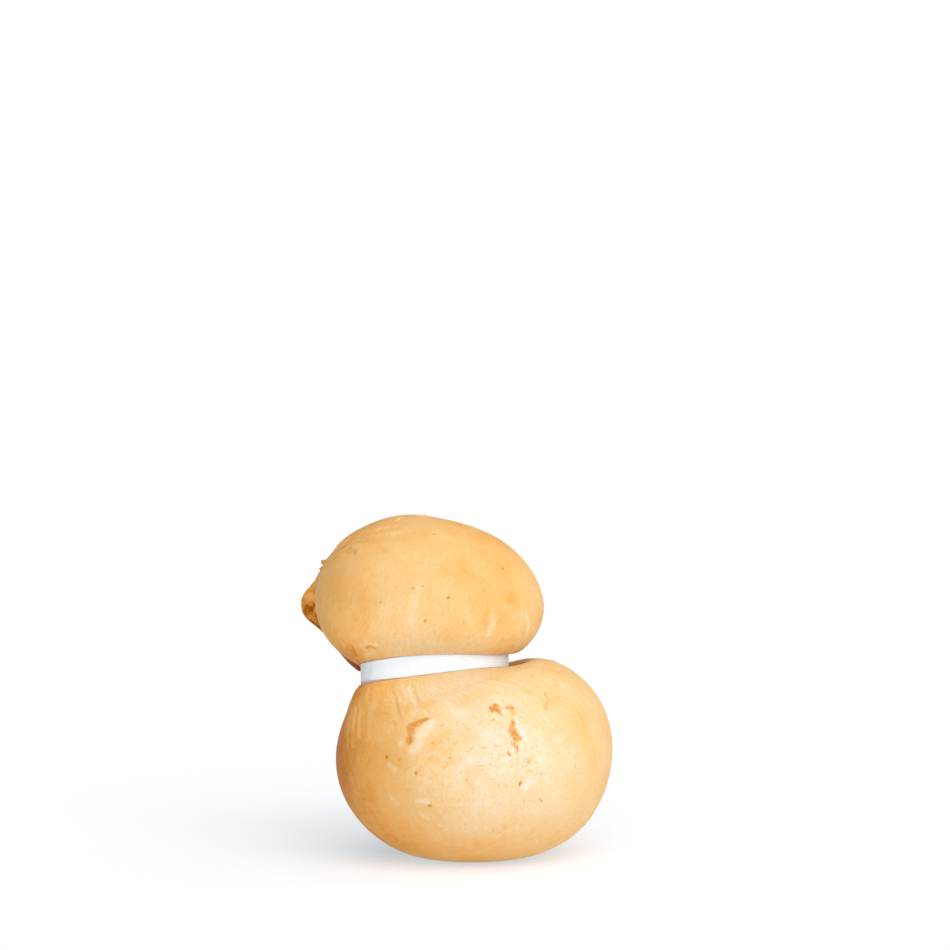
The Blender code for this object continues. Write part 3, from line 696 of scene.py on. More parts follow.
def fold_fields(points, outward, settings):
    """The fold's relief at each point, how dark its painted shade makes the point, and how far it is in the
    facet.

    On the left flank the crease is a narrow trough along the path, and behind it the rind rises
    to the fold and falls away slowly. The knob is a steep bell on the fold, with creases down it,
    and over it the edge of the fold is torn into teeth. Over the top of the head the path is a
    crest.
    """
    fold = fold_place(points, outward)
    knob = np.exp(-np.abs((fold.level - KNOB_HEIGHT) / KNOB_SPREAD) ** KNOB_POWER)
    knob *= ramp(fold.angle, *KNOB_TURN)
    raised = (fold.lift + settings.knob_lift * knob) * strip(fold.behind, *FOLD_STRIP)
    trough = settings.crease_depth * ramp(fold.angle, *FLANK_TURN) * bell(fold.behind, TROUGH_REACH)
    creases, dark = knob_face(points, fold, raised, knob)
    crest, lines, facet = crest_fields(fold, settings)
    relief = raised - trough - creases + torn_edge(points, fold) + crest
    return relief, dark + underside_painted_shade(points, fold) + lines, facet


def back_marks(settings):
    """Marks for the side that faces away: short wandering strokes in seeded random places."""
    draw = np.random.default_rng(settings.seed)
    marks = {}
    for kind, count, reaches in BACK_MARKS:
        marks[kind] = []
        for _ in range(count):
            middle, half = BACK_LOBES[0 if draw.uniform() < BODY_CHANCE else 1]
            angle, share = draw.uniform(0.0, 2.0 * math.pi), math.sqrt(draw.uniform(0.0, 1.0))
            place = middle + half * share * np.array((math.cos(angle), math.sin(angle)))
            reach = draw.uniform(*reaches)
            steps = draw.normal(0.0, 1.6 * reach, (1 if kind == "speck" else 3, 2))
            path = np.vstack((place, place + np.cumsum(steps, axis=0)))
            path = np.column_stack((path, np.full(len(path), reach)))
            strength = draw.uniform(*BACK_STRENGTHS)
            marks[kind].append((strength, *(path[:1] if kind == "speck" else path)))
    return marks


def mark_field(points, placed, facing, path):
    """Which of the facing points a mark reaches, and its field there.

    field = exp(-(distance to the path / its half width there) ** 2). The path is laid on the
    surface, and placed holds the points' places, shifted or not, that the distances start from.
    """
    path = np.asarray(path, dtype=float) * MM
    samples = np.linspace(0.0, len(path) - 1.0, MARK_SAMPLES * (len(path) - 1) + 1)
    path = np.stack([np.interp(samples, np.arange(len(path)), part) for part in path.T], axis=1)
    places, reach = path[:, :2], path[:, 2]
    margin = MARK_MARGIN * reach.max()
    seen = points[:, (0, 2)]
    inside = (seen[facing] > places.min(0) - margin) & (seen[facing] < places.max(0) + margin)
    near = facing[inside.all(axis=1)]
    if not len(near):
        return near, np.zeros(0)
    squares = ((seen[near][:, None] - places) ** 2).sum(axis=2)
    line = points[near[squares.argmin(axis=0)]]
    gaps = np.linalg.norm(placed[near][:, None] - line, axis=2) / reach
    return near, np.exp(-gaps.min(axis=1) ** 2)


def mark_fields(points, settings):
    """How much of each kind of mark every point has, as fields that fall off smoothly.

    Waves shift the points of all kinds but the relief, so that edges are ragged. The strongest
    mark of a kind wins, and ridges and grooves add up.
    """
    fields = {kind: np.zeros(len(points)) for kind in MARKS}
    moved = points.copy()
    for turn, axis in enumerate((0, 2)):
        for shift, length, seed in RAGGED:
            moved[:, axis] += shift * waves(points, length, seed + turn)
    for side, table in ((-1.0, MARKS), (1.0, back_marks(settings))):
        facing = np.flatnonzero(points[:, 1] * side > -SIDES_MEET)
        for kind, marks in table.items():
            field = fields[kind]
            for strength, *path in marks:
                if kind == "relief":
                    near, value = mark_field(points, points, facing, path)
                    field[near] += strength * value
                else:
                    near, value = mark_field(points, moved, facing, path)
                    field[near] = np.maximum(field[near], strength * value)
    return fields


def closed_grid(rows, columns):
    """Quads between rows of points that each close on themselves, turned to face outwards."""
    row = np.arange(rows - 1)[:, None] * columns
    column = np.arange(columns)[None, :]
    after = (column + 1) % columns
    return np.stack((row + column, row + after, row + columns + after, row + columns + column),
                    axis=-1).reshape(-1, 4)


def fan(middle, ring):
    """Triangles from one point to each edge of a closed ring of points."""
    return np.stack((np.full(len(ring), middle), ring, np.roll(ring, -1)), axis=-1)


def cheese_surface(settings):
    """The cheese's points and faces, with the fields that its material reads.

    The plain loft is moved outwards from the middle of its lobe by lumps, the fold, the marks
    and the wrinkles, which all fade out towards the waist, the foot and the top.
    """
    stations = np.concatenate([k + np.arange(s.rings) / s.rings for k, s in enumerate(SECTIONS[:-1])])
    angles = ring_angles(COLUMNS, CROWDING, CROWDED_AT)
    flat = loft(stations, angles).reshape(-1, 3)
    station = np.repeat(stations, COLUMNS)
    on_head = station > ROOF
    outward = flat - np.where(on_head[:, None], HEAD_CENTRE, BODY_CENTRE)
    outward /= np.linalg.norm(outward, axis=1, keepdims=True)
    lobes = eased(station) * (1.0 - ramp(station, *LUMPS_END)) + ramp(station, *LUMPS_AGAIN)
    relief = lump_relief(flat, settings.lump_depth) * lobes
    fields = mark_fields(flat, settings)
    fields["shade"], fields["facet"] = np.zeros(len(flat)), np.zeros(len(flat))
    lift, fields["shade"][on_head], fields["facet"][on_head] = fold_fields(
        flat[on_head], outward[on_head], settings)
    relief[on_head] += lift * eased(station[on_head] - ROOF)
    calm = ramp(station, *FINE_FOOT) * (1.0 - ramp(station, *FINE_WAIST)) + ramp(station, *FINE_HEAD)
    wrinkles = wrinkle_relief(flat, np.tile(angles, len(stations)), settings)
    relief += calm * (fields["relief"] * MM + wrinkles - PIT_DEPTH * fields["speck"])
    pull_reach = np.where(on_head, PULL_REACH["head"], PULL_REACH["body"])
    fields["pull"] = bell(flat[:, 2] - PULL_LEVEL, pull_reach)
    fields["flecks"] = soft_spots(flat[:, 0] / MM, flat[:, 2] / MM, FLECKS)
    foot = loft(np.zeros(len(FOOT_SHARES)), angles, shares=np.array(FOOT_SHARES)).reshape(-1, 3)
    pole = rail_points(RIGHT_RAIL, np.array([float(TOP)]))[0]
    top = (pole[0], SECTIONS[TOP].back * MM, pole[1])
    points = np.vstack((np.zeros(3), foot, flat + outward * relief[:, None], top))
    inside = 1 + len(foot)
    fields["strand"] = strand_places(stations, angles)
    fields = {name: np.pad(field, [(inside, 1)] + [(0, 0)] * (field.ndim - 1))
              for name, field in fields.items()}
    fields["sweep"] = sweep_places(points)
    column = np.arange(COLUMNS)
    last = len(points) - 1
    quads = closed_grid(len(FOOT_SHARES) + len(stations), COLUMNS) + 1
    under = fan(0, 1 + column)[:, (0, 2, 1)]
    return points, quads, np.concatenate((under, fan(last, last - COLUMNS + column))), fields


def strand_places(stations, angles):
    """A place for the rind's fibres: round the cheese in x and y, and up it in z.

    The fibres fan out from the waist, so the angle turns with the height above or below it.
    """
    height = (stations - WAIST_FOOT - 1.0)[:, None]
    turned = angles[None] - FIBRE_FAN * np.abs(height)
    climb = np.broadcast_to(height * FIBRE_CLIMB, turned.shape)
    return np.stack((np.cos(turned), np.sin(turned), climb), axis=-1).reshape(-1, 3)


def sweep_places(points):
    """A place for the streaks behind the crest: along them in x and across them in y.

    Seen from the front, they run in circles about a point in the head.
    """
    x, z = points[:, 0] / MM - SWEEP_CENTRE[0], points[:, 2] / MM - SWEEP_CENTRE[1]
    along, across = np.arctan2(z, x) * SWEEP_SCALE[0], np.hypot(x, z) * SWEEP_SCALE[1]
    return np.stack((along, across, np.zeros(len(x))), axis=-1)


def rind_smoke_and_shade(points, fields):
    """How smoked each point is, from 0, pale, to 1, brown, with painted shade and painted light in it.

    The slow changes, each a product of ramps, the soft spots, the marks and slow waves add up. Some ramps
    are painted shade on the left and low sides, and the body's soft spots and the ridges are painted light.
    """
    places = dict(zip("xyz", (points / MM).T))
    head = ramp(places["z"], *HEAD_FROM)
    lobes = {"body": 1.0 - head, "head": head, "both": 1.0}
    smoke = np.full(len(points), PLAIN_SMOKE)
    for lobe, change, *ramps in SMOKE_AND_SHADE_RAMPS:
        bounds = [ramp(places[axis], start, length) for axis, start, length in ramps]
        smoke += change * lobes[lobe] * np.prod(bounds, axis=0)
    # Painted light on the belly and under the tape, and front tones that are partly painted light and
    # shade.
    smoke += lobes["body"] * soft_spots(places["x"], places["z"], BODY_PAINTED_LIGHT)
    smoke += ramp(places["y"], *FRONT_FROM) * soft_spots(places["x"], places["z"], FRONT_LIGHT_AND_SMOKE)
    smoke += 0.25 * fields["blush"] - 0.03 * fields["facet"]
    # Painted highlight: ridges come out paler.
    smoke -= 0.40 * np.clip(fields["relief"], 0.0, 0.5)
    smoke += 0.04 * waves(points, 26.0 * MM, 21) + 0.03 * waves(points, 9.0 * MM, 22)
    return np.clip(smoke, 0.0, MOST_SMOKE)


def rind_painted_shade(points, fields):
    """How much painted shade darkens each point: the fold's shade, shade in the grooves, and shade on the
    far left flank.
    """
    left_flank_shade = ramp(points[:, 0] / MM, *FLANK_SHADE_RAMPS[0]) * ramp(points[:, 2] / MM, *FLANK_SHADE_RAMPS[1])
    grooves = np.clip(-fields["relief"], 0.0, 0.5)
    return 0.8 * fields["shade"] + 0.40 * grooves + 0.06 * left_flank_shade


def tape_ring(settings, near, far, rise):
    """One turn of tape: a flat profile carried round the waist.

    Its lower edge rises at the front left. The outer face has fine ribs along the tape, rounded
    edges and a bend near the left end.
    """
    angles = ring_angles(TAPE_COLUMNS, TAPE_CROWDING, TAPE_CROWDED_AT)
    degrees = np.degrees(angles) % 360.0
    low = TAPE_GAP + rise * (1.0 - ramp(degrees, *RISE_END)) * ramp(degrees, *RISE_START)
    share = np.concatenate((np.linspace(0.0, 1.0, TAPE_ROWS), (1.0, 0.5, 0.0)))
    outer = np.arange(len(share)) < TAPE_ROWS
    past = np.clip(np.abs(share - 0.5) * 2.0 - 1.0 + TAPE_ROUNDED, 0.0, TAPE_ROUNDED - 0.001)
    edge = 1.0 - np.sqrt(1.0 - past ** 2 / TAPE_ROUNDED ** 2)
    rib = 0.5 - 0.5 * np.cos(share * 2.0 * math.pi * settings.rib_count)
    outset = np.where(outer, far - TAPE_ROUNDING * edge - settings.rib_depth * rib, near)
    rows = []
    for part, reach, faces_out in zip(share, outset, outer):
        level = low + (WAIST_HEIGHT - TAPE_GAP - low) * part
        base, roof = loft(np.array((WAIST_FOOT, WAIST_FOOT + 1.0)), angles, outset=reach)
        row = base + (roof - base) * (level / WAIST_HEIGHT)[:, None]
        if faces_out:
            bent = (row[:, 1] < 0.0) * bell(row[:, 0] - TAPE_BEND - BEND_SLANT * part, BEND_REACH)
            row[:, :2] *= 1.0 - (settings.bend_depth * bent / np.linalg.norm(row[:, :2], axis=1))[:, None]
        rows.append(row)
    points = np.concatenate(rows)
    quads = closed_grid(len(rows) + 1, TAPE_COLUMNS) % len(points)
    turned = np.tile(angles, len(rows))
    across = np.repeat(share * STRAND_HEIGHT, TAPE_COLUMNS)
    strand = (STRAND_RADIUS * np.cos(turned), STRAND_RADIUS * np.sin(turned), across)
    return points, quads, np.stack(strand, axis=-1)


def tape_painted_shade(points):
    """Painted shade on the tape: towards its left end, and in the line of the bend in front."""
    end = ramp(points[:, 0] / MM, *TAPE_SHADE_END)
    level, slant, reach = BEND_SHADE_LINE
    line = bell(points[:, 0] - TAPE_BEND - slant * (points[:, 2] - level), reach)
    return np.maximum(0.8 * end, 0.9 * line * (points[:, 1] < 0.0))


# ---- Meshes, materials, light and camera ----

def make_mesh(name, points, quads, triangles=None):
    """A mesh from arrays of points, quads and triangles, shaded smooth."""
    triangles = np.zeros((0, 3), int) if triangles is None else triangles
    mesh = bpy.data.meshes.new(name)
    corners = np.concatenate((quads.ravel(), triangles.ravel())).astype(np.int32)
    sizes = np.concatenate((np.full(len(quads), 4), np.full(len(triangles), 3)))
    starts = np.concatenate(((0,), np.cumsum(sizes)[:-1])).astype(np.int32)
    mesh.vertices.add(len(points))
    mesh.vertices.foreach_set("co", points.astype(np.float32).ravel())
    mesh.loops.add(len(corners))
    mesh.loops.foreach_set("vertex_index", corners)
    mesh.polygons.add(len(sizes))
    mesh.polygons.foreach_set("loop_start", starts)
    mesh.update(calc_edges=True)
    mesh.validate()
    mesh.shade_smooth()
    return mesh


def store(mesh, name, values):
    """One number or vector for each vertex, kept as an attribute for the material."""
    kind, key = ("FLOAT", "value") if values.ndim == 1 else ("FLOAT_VECTOR", "vector")
    layer = mesh.attributes.new(name, kind, "POINT")
    layer.data.foreach_set(key, values.astype(np.float32).ravel())


def add_piece(name, mesh, material, node):
    """Put a finished piece in the scene, where it stands for its CAD node."""
    piece = bpy.data.objects.new(name, mesh)
    bpy.context.scene.collection.objects.link(piece)
    mesh.materials.append(material)
    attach(piece, "root")
    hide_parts(node)
    return piece


def new_material(name, inputs):
    """A material, its node tree and its Principled shader, with the given sockets set."""
    material = bpy.data.materials.new(name)
    material.use_nodes = True
    return material, material.node_tree, plug(material.node_tree.nodes["Principled BSDF"], inputs)


def plug(made, inputs):
    """Link or set a node's sockets: a value is another node's socket, or a number or colour."""
    for key, value in inputs.items():
        if isinstance(value, bpy.types.NodeSocket):
            made.id_data.links.new(value, made.inputs[key])
        else:
            made.inputs[key].default_value = value
    return made


def node(tree, kind, inputs=None, **properties):
    """Add a node, set its properties, and link or set its sockets."""
    made = tree.nodes.new(kind)
    for key, value in properties.items():
        setattr(made, key, value)
    return plug(made, inputs or {})


def attribute(tree, name, output="Fac"):
    """A number kept on the mesh, or a vector."""
    return node(tree, "ShaderNodeAttribute", attribute_name=name).outputs[output]


def noise(tree, place, scale, detail=3.0, roughness=0.55):
    """A noise texture's value at the given places."""
    inputs = {"Vector": place, "Scale": scale, "Detail": detail, "Roughness": roughness}
    return node(tree, "ShaderNodeTexNoise", inputs).outputs["Fac"]


def calculated(tree, operation, *values):
    """The result of a math node on sockets or numbers."""
    return node(tree, "ShaderNodeMath", dict(enumerate(values)), operation=operation).outputs[0]


def scaled_sum(tree, start, *terms):
    """start + the sum of weight * (value - 0.5) over the terms (value, weight)."""
    total = start
    for value, weight in terms:
        term = calculated(tree, "MULTIPLY_ADD", value, weight, -0.5 * weight)
        total = calculated(tree, "ADD", total, term)
    return total


def between(tree, value, low, high, top=1.0, bottom=0.0):
    """The bottom below low, the top above high, and smooth between."""
    inputs = {"Value": value, "From Min": low, "From Max": high, "To Min": bottom, "To Max": top}
    return node(tree, "ShaderNodeMapRange", inputs, interpolation_type="SMOOTHSTEP").outputs["Result"]


def laid_over(tree, under, share, colour):
    """The colour laid over another as far as the share says."""
    inputs = {"Factor": share, 6: under, 7: colour}
    return node(tree, "ShaderNodeMix", inputs, data_type="RGBA").outputs[2]


def mottled(tree, value, name):
    """The value as far as the attribute of that name says, and 0.5 elsewhere."""
    inputs = {"Factor": attribute(tree, name), "A": 0.5, "B": value}
    return node(tree, "ShaderNodeMix", inputs, data_type="FLOAT").outputs[0]


def ramp_colour(tree, value, first, last, *others):
    """The colour of a value on a colour ramp, whose stops are a place and a colour each."""
    made = node(tree, "ShaderNodeValToRGB", {"Fac": value})
    stops = made.color_ramp.elements
    stops[0].position, stops[0].color = first
    stops[1].position, stops[1].color = last
    for place, colour in others:
        stops.new(place).color = colour
    return made.outputs["Color"]


def rind_material(settings):
    """Smoked rind: mottled between pale and brown, with stains, pale patches, pits and fibres, and the
    painted shade and painted light that the smoke and crease fields carry.
    """
    inputs = {"Specular IOR Level": 0.02, "Subsurface Weight": 0.08,
              "Subsurface Radius": (1.0, 0.55, 0.25), "Subsurface Scale": 2.0 * MM}
    material, tree, shader = new_material("smoked rind", inputs)
    place = node(tree, "ShaderNodeTexCoord").outputs["Object"]
    broad = noise(tree, place, 85.0, 4.0)
    blotch = noise(tree, place, 330.0, 3.0, 0.6)
    patchy = noise(tree, place, 420.0, 4.0, 0.65)
    ragged = noise(tree, place, 900.0, 4.0, 0.65)
    smear = noise(tree, place, 1500.0, 2.0, 0.6)
    fine = noise(tree, place, 2600.0, 3.0, 0.65)
    fibre = mottled(tree, noise(tree, attribute(tree, "strand", "Vector"), 34.0, 3.0, 0.6), "pull")
    streaks = mottled(tree, noise(tree, attribute(tree, "sweep", "Vector"), 1.0, 3.0, 0.65), "facet")
    flecks = mottled(tree, patchy, "flecks")

    flake = scaled_sum(tree, attribute(tree, "pale"), (patchy, 1.0), (ragged, 0.6))
    smoke = scaled_sum(tree, attribute(tree, "smoke"), (broad, 0.14), (blotch, 0.14), (fibre, 0.55),
                       (ragged, 0.14), (fine, 0.45), (between(tree, flake, 0.10, 1.10), -0.26),
                       (flecks, 0.70), (streaks, 1.1))
    slowed = calculated(tree, "MULTIPLY_ADD", smoke, SMOKE_SLOPE, (1.0 - SMOKE_SLOPE) * SMOKE_KNEE)
    held = calculated(tree, "MINIMUM", smoke, slowed)
    # The crease field adds painted shade on top of the held smoke.
    smoke = calculated(tree, "ADD", held, attribute(tree, "crease"))
    colour = ramp_colour(tree, smoke, (0.0, settings.cream_colour), (1.0, settings.brown_colour),
                         (0.22, settings.pale_colour), (0.46, settings.straw_colour),
                         (0.74, settings.amber_colour), (0.87, settings.tawny_colour))

    patch = between(tree, flake, 0.35, 1.30, 0.35)
    fleck = calculated(tree, "MULTIPLY", between(tree, ragged, 0.56, 0.66, 0.60), attribute(tree, "flecks"))
    edge = scaled_sum(tree, attribute(tree, "stain"), (smear, 0.45), (patchy, 0.5))
    rim = between(tree, edge, 0.08, 0.50, 0.40)
    core = between(tree, edge, 0.28, 0.88, 0.90)
    deep = calculated(tree, "MULTIPLY", core, between(tree, smear, 0.42, 0.62, 0.75))
    speck = between(tree, scaled_sum(tree, attribute(tree, "speck"), (ragged, 0.5)), 0.15, 0.70, 0.95)
    for share, layer in ((patch, settings.patch_colour), (fleck, settings.amber_colour),
                         (rim, settings.amber_colour), (core, settings.stain_colour),
                         (deep, settings.deep_stain_colour), (speck, settings.speck_colour)):
        colour = laid_over(tree, colour, share, layer)

    height = scaled_sum(tree, fine, (blotch, 1.2), (fibre, 2.6), (ragged, 1.0))
    bump = node(tree, "ShaderNodeBump", {"Height": height, "Strength": 0.7, "Distance": 0.12 * MM})
    gloss = scaled_sum(tree, between(tree, smoke, 0.2, 0.9, -0.10), (blotch, 0.25))
    plug(shader, {"Base Color": colour, "Normal": bump.outputs["Normal"],
                  "Roughness": calculated(tree, "ADD", gloss, settings.roughness)})
    return material


def tape_material(settings):
    """White woven tape with faint streaks along it, and painted shade laid on where the grey attribute
    says.
    """
    material, tree, shader = new_material("white tape", {"Roughness": settings.roughness})
    streak = noise(tree, attribute(tree, "strand", "Vector"), 3.0, 3.0, 0.5)
    grey = tuple(0.92 * part for part in settings.colour[:3])
    darker = tuple(0.86 * part for part in grey)
    colour = ramp_colour(tree, streak, (0.3, (*grey, 1.0)), (0.62, settings.colour))
    # The grey attribute lays painted shade over the tape's colour.
    plug(shader, {"Base Color": laid_over(tree, colour, attribute(tree, "grey"), (*darker, 1.0))})
    return material


def floor_material(settings):
    """A pale dull floor that gives off a little light itself."""
    inputs = {"Base Color": settings.floor_colour, "Roughness": 0.9, "Specular IOR Level": 0.1,
              "Emission Color": settings.glow_colour, "Emission Strength": settings.floor_glow}
    return new_material("pale floor", inputs)[0]


def sky_world(settings):
    """White light from all round: brighter to the front right, and white at the horizon.

    Brightness = sky + side * (direction along the brighter side), and near the horizon it rises
    to the white of the backdrop.
    """
    world = bpy.data.worlds.new("sky")
    world.use_nodes = True
    tree = world.node_tree
    direction = node(tree, "ShaderNodeTexCoord").outputs["Generated"]
    towards = node(tree, "ShaderNodeVectorMath", {0: direction, 1: settings.bright_side},
                   operation="DOT_PRODUCT")
    even = calculated(tree, "ADD", towards.outputs["Value"], settings.sky_strength)
    height = node(tree, "ShaderNodeSeparateXYZ", {0: direction}).outputs["Z"]
    low, high = (math.sin(angle) for angle in HORIZON)
    backdrop = between(tree, height, low, high, 0.0, settings.backdrop)
    brightness = calculated(tree, "MAXIMUM", even, backdrop)
    plug(tree.nodes["Background"], {"Color": WHITE, "Strength": brightness})
    return world


def add_floor(context, settings):
    """A round level floor, of rings of points about its middle, a little under the foot."""
    angles = np.arange(FLOOR_SIDES) * 2.0 * math.pi / FLOOR_SIDES
    radii = np.array(FLOOR_RADII)[:, None]
    level = np.full((len(radii), FLOOR_SIDES), -FLOOR_DROP)
    rings = np.stack((radii * np.cos(angles), radii * np.sin(angles), level), axis=-1)
    points = np.vstack(((0.0, 0.0, -FLOOR_DROP), rings.reshape(-1, 3)))
    quads = closed_grid(len(radii), FLOOR_SIDES)[:, ::-1] + 1
    mesh = make_mesh("floor", points, quads, fan(0, 1 + np.arange(FLOOR_SIDES)))
    mesh.materials.append(floor_material(settings))
    floor = bpy.data.objects.new("floor", mesh)
    context.scene.collection.objects.link(floor)


def add_sun(context, settings):
    """The broad main light, which shines from the front right and above."""
    light = bpy.data.lights.new("main light", "SUN")
    light.energy = settings.main_strength
    light.angle = settings.main_spread
    lamp = bpy.data.objects.new("main light", light)
    turn, rise = settings.main_right, settings.main_height
    direction = Vector((math.sin(turn) * math.cos(rise), -math.cos(turn) * math.cos(rise), math.sin(rise)))
    lamp.location = AIM_POINT + direction
    lamp.rotation_euler = direction.to_track_quat("Z", "Y").to_euler()
    context.scene.collection.objects.link(lamp)


def add_camera(context):
    """The camera of the photograph: the aim point shows in the middle column, at its row."""
    data = bpy.data.cameras.new("camera")
    data.sensor_width = SENSOR_WIDTH
    data.lens = FOCAL_PIXELS / IMAGE_SIDE * SENSOR_WIDTH
    data.clip_end = SEEN_DISTANCE
    camera = bpy.data.objects.new("camera", data)
    rise = Vector((0.0, -math.cos(CAMERA_HEIGHT_ANGLE), math.sin(CAMERA_HEIGHT_ANGLE)))
    camera.location = AIM_POINT + rise * CAMERA_DISTANCE
    pitch = CAMERA_HEIGHT_ANGLE - math.atan((AIM_ROW - IMAGE_SIDE / 2.0) / FOCAL_PIXELS)
    camera.rotation_euler = (math.pi / 2.0 - pitch, 0.0, 0.0)
    context.scene.collection.objects.link(camera)
    context.scene.camera = camera


# ---- Settings, operators and panel ----

LENGTH = {"unit": "LENGTH", "min": 0.0}
COLOUR = {"subtype": "COLOR", "size": 4, "min": 0.0, "max": 1.0}
FACTOR = {"subtype": "FACTOR", "min": 0.0, "max": 1.0}


class RindSettings(bpy.types.PropertyGroup):
    """Sizes and colours of the cheese."""

    lump_depth: bpy.props.FloatProperty(
        name="Lump depth", description="Unevenness of the hand-formed cheese", default=0.25 * MM, **LENGTH)
    crease_depth: bpy.props.FloatProperty(
        name="Crease depth", description="Depth of the trough along the fold", default=1.1 * MM, **LENGTH)
    knob_lift: bpy.props.FloatProperty(
        name="Knob lift", description="How far the knob of the fold stands out", default=4.8 * MM, **LENGTH)
    crest_lift: bpy.props.FloatProperty(
        name="Crest lift", description="Height of the sharp crest over the top of the head",
        default=0.6 * MM, **LENGTH)
    crest_hollow: bpy.props.FloatProperty(
        name="Crest hollow", description="Depth of the hollow behind the crest", default=1.0 * MM, **LENGTH)
    wrinkle_depth: bpy.props.FloatProperty(
        name="Wrinkle depth", description="Depth of the upright wrinkles on the left",
        default=0.12 * MM, **LENGTH)
    fibre_depth: bpy.props.FloatProperty(
        name="Fibre depth", description="Depth of the pulled fibres near the waist",
        default=0.05 * MM, **LENGTH)
    seed: bpy.props.IntProperty(
        name="Seed", description="Places of the marks on the side that faces away", default=3)
    cream_colour: bpy.props.FloatVectorProperty(
        name="Cream", description="Rind that took no smoke", default=(0.80, 0.68, 0.565, 1.0), **COLOUR)
    pale_colour: bpy.props.FloatVectorProperty(
        name="Pale", description="Rind that took a little smoke", default=(0.79, 0.60, 0.37, 1.0), **COLOUR)
    straw_colour: bpy.props.FloatVectorProperty(
        name="Straw", description="Lightly smoked rind", default=(0.775, 0.50, 0.215, 1.0), **COLOUR)
    amber_colour: bpy.props.FloatVectorProperty(
        name="Amber", description="Well smoked rind", default=(0.765, 0.378, 0.097, 1.0), **COLOUR)
    # Tawny and brown are reached mostly through the painted shade of the crease field.
    tawny_colour: bpy.props.FloatVectorProperty(
        name="Tawny", description="Rind of the fold's underside",
        default=(0.60, 0.22, 0.025, 1.0), **COLOUR)
    brown_colour: bpy.props.FloatVectorProperty(
        name="Brown", description="Rind in creases", default=(0.33, 0.08, 0.004, 1.0), **COLOUR)
    patch_colour: bpy.props.FloatVectorProperty(
        name="Patch", description="Pale patches", default=(0.82, 0.73, 0.61, 1.0), **COLOUR)
    stain_colour: bpy.props.FloatVectorProperty(
        name="Stain", description="Brown stains", default=(0.68, 0.32, 0.088, 1.0), **COLOUR)
    deep_stain_colour: bpy.props.FloatVectorProperty(
        name="Deep stain", description="Darker parts of the stains",
        default=(0.55, 0.205, 0.040, 1.0), **COLOUR)
    speck_colour: bpy.props.FloatVectorProperty(
        name="Speck", description="Pits", default=(0.60, 0.24, 0.025, 1.0), **COLOUR)
    roughness: bpy.props.FloatProperty(
        name="Roughness", description="Satin of the rind", default=0.52, **FACTOR)


class TapeSettings(bpy.types.PropertyGroup):
    """Sizes and colours of the tape."""

    colour: bpy.props.FloatVectorProperty(
        name="Colour", description="White of the tape", default=(0.84, 0.89, 0.95, 1.0), **COLOUR)
    roughness: bpy.props.FloatProperty(
        name="Roughness", description="Dullness of the tape", default=0.6, **FACTOR)
    rib_count: bpy.props.IntProperty(
        name="Ribs", description="Fine ribs across the tape's width", default=11, min=1)
    rib_depth: bpy.props.FloatProperty(
        name="Rib depth", description="Depth of the grooves between the ribs", default=0.05 * MM, **LENGTH)
    bend_depth: bpy.props.FloatProperty(
        name="Bend depth", description="Depth of the bend near the left end", default=0.22 * MM, **LENGTH)


class StudioSettings(bpy.types.PropertyGroup):
    """Floor and light."""

    floor_colour: bpy.props.FloatVectorProperty(
        name="Floor", description="Colour of the pale floor", default=(0.70, 0.54, 0.46, 1.0), **COLOUR)
    glow_colour: bpy.props.FloatVectorProperty(
        name="Glow colour", description="Colour of the light that the floor gives off itself",
        default=(0.31, 0.47, 0.555, 1.0), **COLOUR)
    floor_glow: bpy.props.FloatProperty(
        name="Floor glow", description="Light that the translucent floor gives off itself",
        default=1.0, min=0.0)
    sky_strength: bpy.props.FloatProperty(
        name="Sky", description="Strength of the even light from all round", default=0.20, min=0.0)
    bright_side: bpy.props.FloatVectorProperty(
        name="Bright side", description="Direction that the even light is stronger from, and how much",
        default=(0.40, -0.22, 0.70), size=3)
    backdrop: bpy.props.FloatProperty(
        name="Backdrop", description="White of the backdrop round the horizon", default=1.03, min=0.0)
    main_strength: bpy.props.FloatProperty(
        name="Main light", description="Strength of the broad main light", default=1.84, min=0.0)
    main_spread: bpy.props.FloatProperty(
        name="Spread", description="How broad the main light is",
        default=math.radians(70.0), min=0.0, subtype="ANGLE")
    main_right: bpy.props.FloatProperty(
        name="To the right", description="Turn of the main light from the front to the right",
        default=math.radians(19.0), subtype="ANGLE")
    main_height: bpy.props.FloatProperty(
        name="Height", description="Height of the main light over the floor",
        default=math.radians(36.0), subtype="ANGLE")


class SCAMORZA_OT_cheese(bpy.types.Operator):
    """Build the cheese with its rind"""

    bl_idname = "scamorza.cheese"
    bl_label = "Build the cheese"

    def execute(self, context):
        settings = context.scene.scamorza_rind
        points, quads, triangles, fields = cheese_surface(settings)
        fields["smoke"] = rind_smoke_and_shade(points, fields)
        fields["crease"] = rind_painted_shade(points, fields)
        mesh = make_mesh("rind", points, quads, triangles)
        for name in RIND_FIELDS:
            store(mesh, name, fields[name])
        add_piece("rind", mesh, rind_material(settings), "cheese")
        return {"FINISHED"}


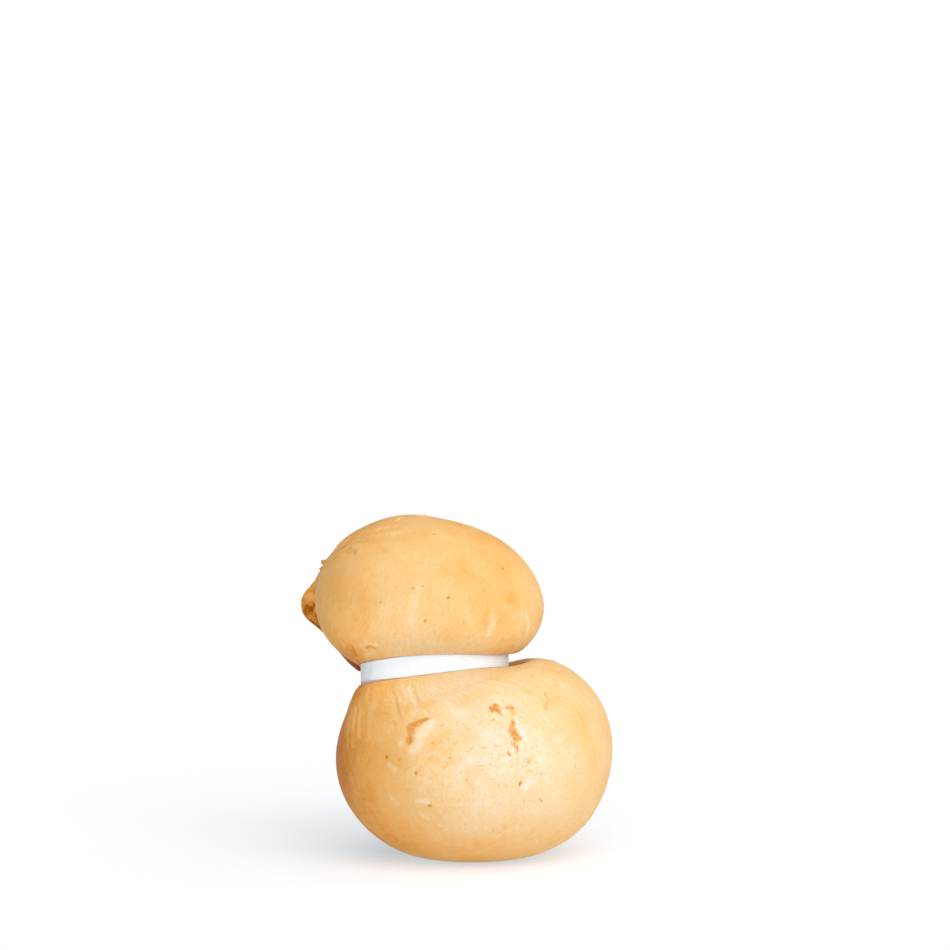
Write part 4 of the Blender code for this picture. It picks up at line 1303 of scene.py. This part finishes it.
class SCAMORZA_OT_tape(bpy.types.Operator):
    """Build both turns of the white tape"""

    bl_idname = "scamorza.tape"
    bl_label = "Build the tape"

    def execute(self, context):
        settings = context.scene.scamorza_tape
        material = tape_material(settings)
        middle = (TAPE_NEAR + TAPE_FAR) / 2.0
        turns = (("tape_inner_turn", TAPE_NEAR, middle - TAPE_BETWEEN / 2.0, 0.0),
                 ("tape_outer_turn", middle + TAPE_BETWEEN / 2.0, TAPE_FAR, TAPE_RISE))
        for name, near, far, rise in turns:
            points, quads, strand = tape_ring(settings, near, far, rise)
            mesh = make_mesh(name, points, quads)
            store(mesh, "strand", strand)
            store(mesh, "grey", tape_painted_shade(points))
            add_piece(name, mesh, material, "band")
        return {"FINISHED"}


class SCAMORZA_OT_studio(bpy.types.Operator):
    """Build the floor, the light and the camera"""

    bl_idname = "scamorza.studio"
    bl_label = "Build the studio"

    def execute(self, context):
        settings = context.scene.scamorza_studio
        add_floor(context, settings)
        context.scene.world = sky_world(settings)
        add_sun(context, settings)
        add_camera(context)
        context.scene.view_settings.view_transform = "Standard"
        return {"FINISHED"}


class SCAMORZA_PT_panel(bpy.types.Panel):
    """The buttons and settings in the sidebar"""

    bl_idname = "SCAMORZA_PT_panel"
    bl_label = "Smoked scamorza"
    bl_space_type = "VIEW_3D"
    bl_region_type = "UI"
    bl_category = "Scamorza"

    def draw(self, context):
        for operator, group in ((SCAMORZA_OT_cheese, context.scene.scamorza_rind),
                                (SCAMORZA_OT_tape, context.scene.scamorza_tape),
                                (SCAMORZA_OT_studio, context.scene.scamorza_studio)):
            box = self.layout.box()
            for name in group.__annotations__:
                box.prop(group, name)
            box.operator(operator.bl_idname)


CLASSES = (RindSettings, TapeSettings, StudioSettings, SCAMORZA_OT_cheese, SCAMORZA_OT_tape,
           SCAMORZA_OT_studio, SCAMORZA_PT_panel)


def register():
    for kind in CLASSES:
        bpy.utils.register_class(kind)
    bpy.types.Scene.scamorza_rind = bpy.props.PointerProperty(type=RindSettings)
    bpy.types.Scene.scamorza_tape = bpy.props.PointerProperty(type=TapeSettings)
    bpy.types.Scene.scamorza_studio = bpy.props.PointerProperty(type=StudioSettings)


def unregister():
    del bpy.types.Scene.scamorza_studio
    del bpy.types.Scene.scamorza_tape
    del bpy.types.Scene.scamorza_rind
    for kind in reversed(CLASSES):
        bpy.utils.unregister_class(kind)


def main():
    """Build everything."""
    register()
    bpy.ops.scamorza.studio()
    bpy.ops.scamorza.cheese()
    bpy.ops.scamorza.tape()


if __name__ == "__main__":
    main()
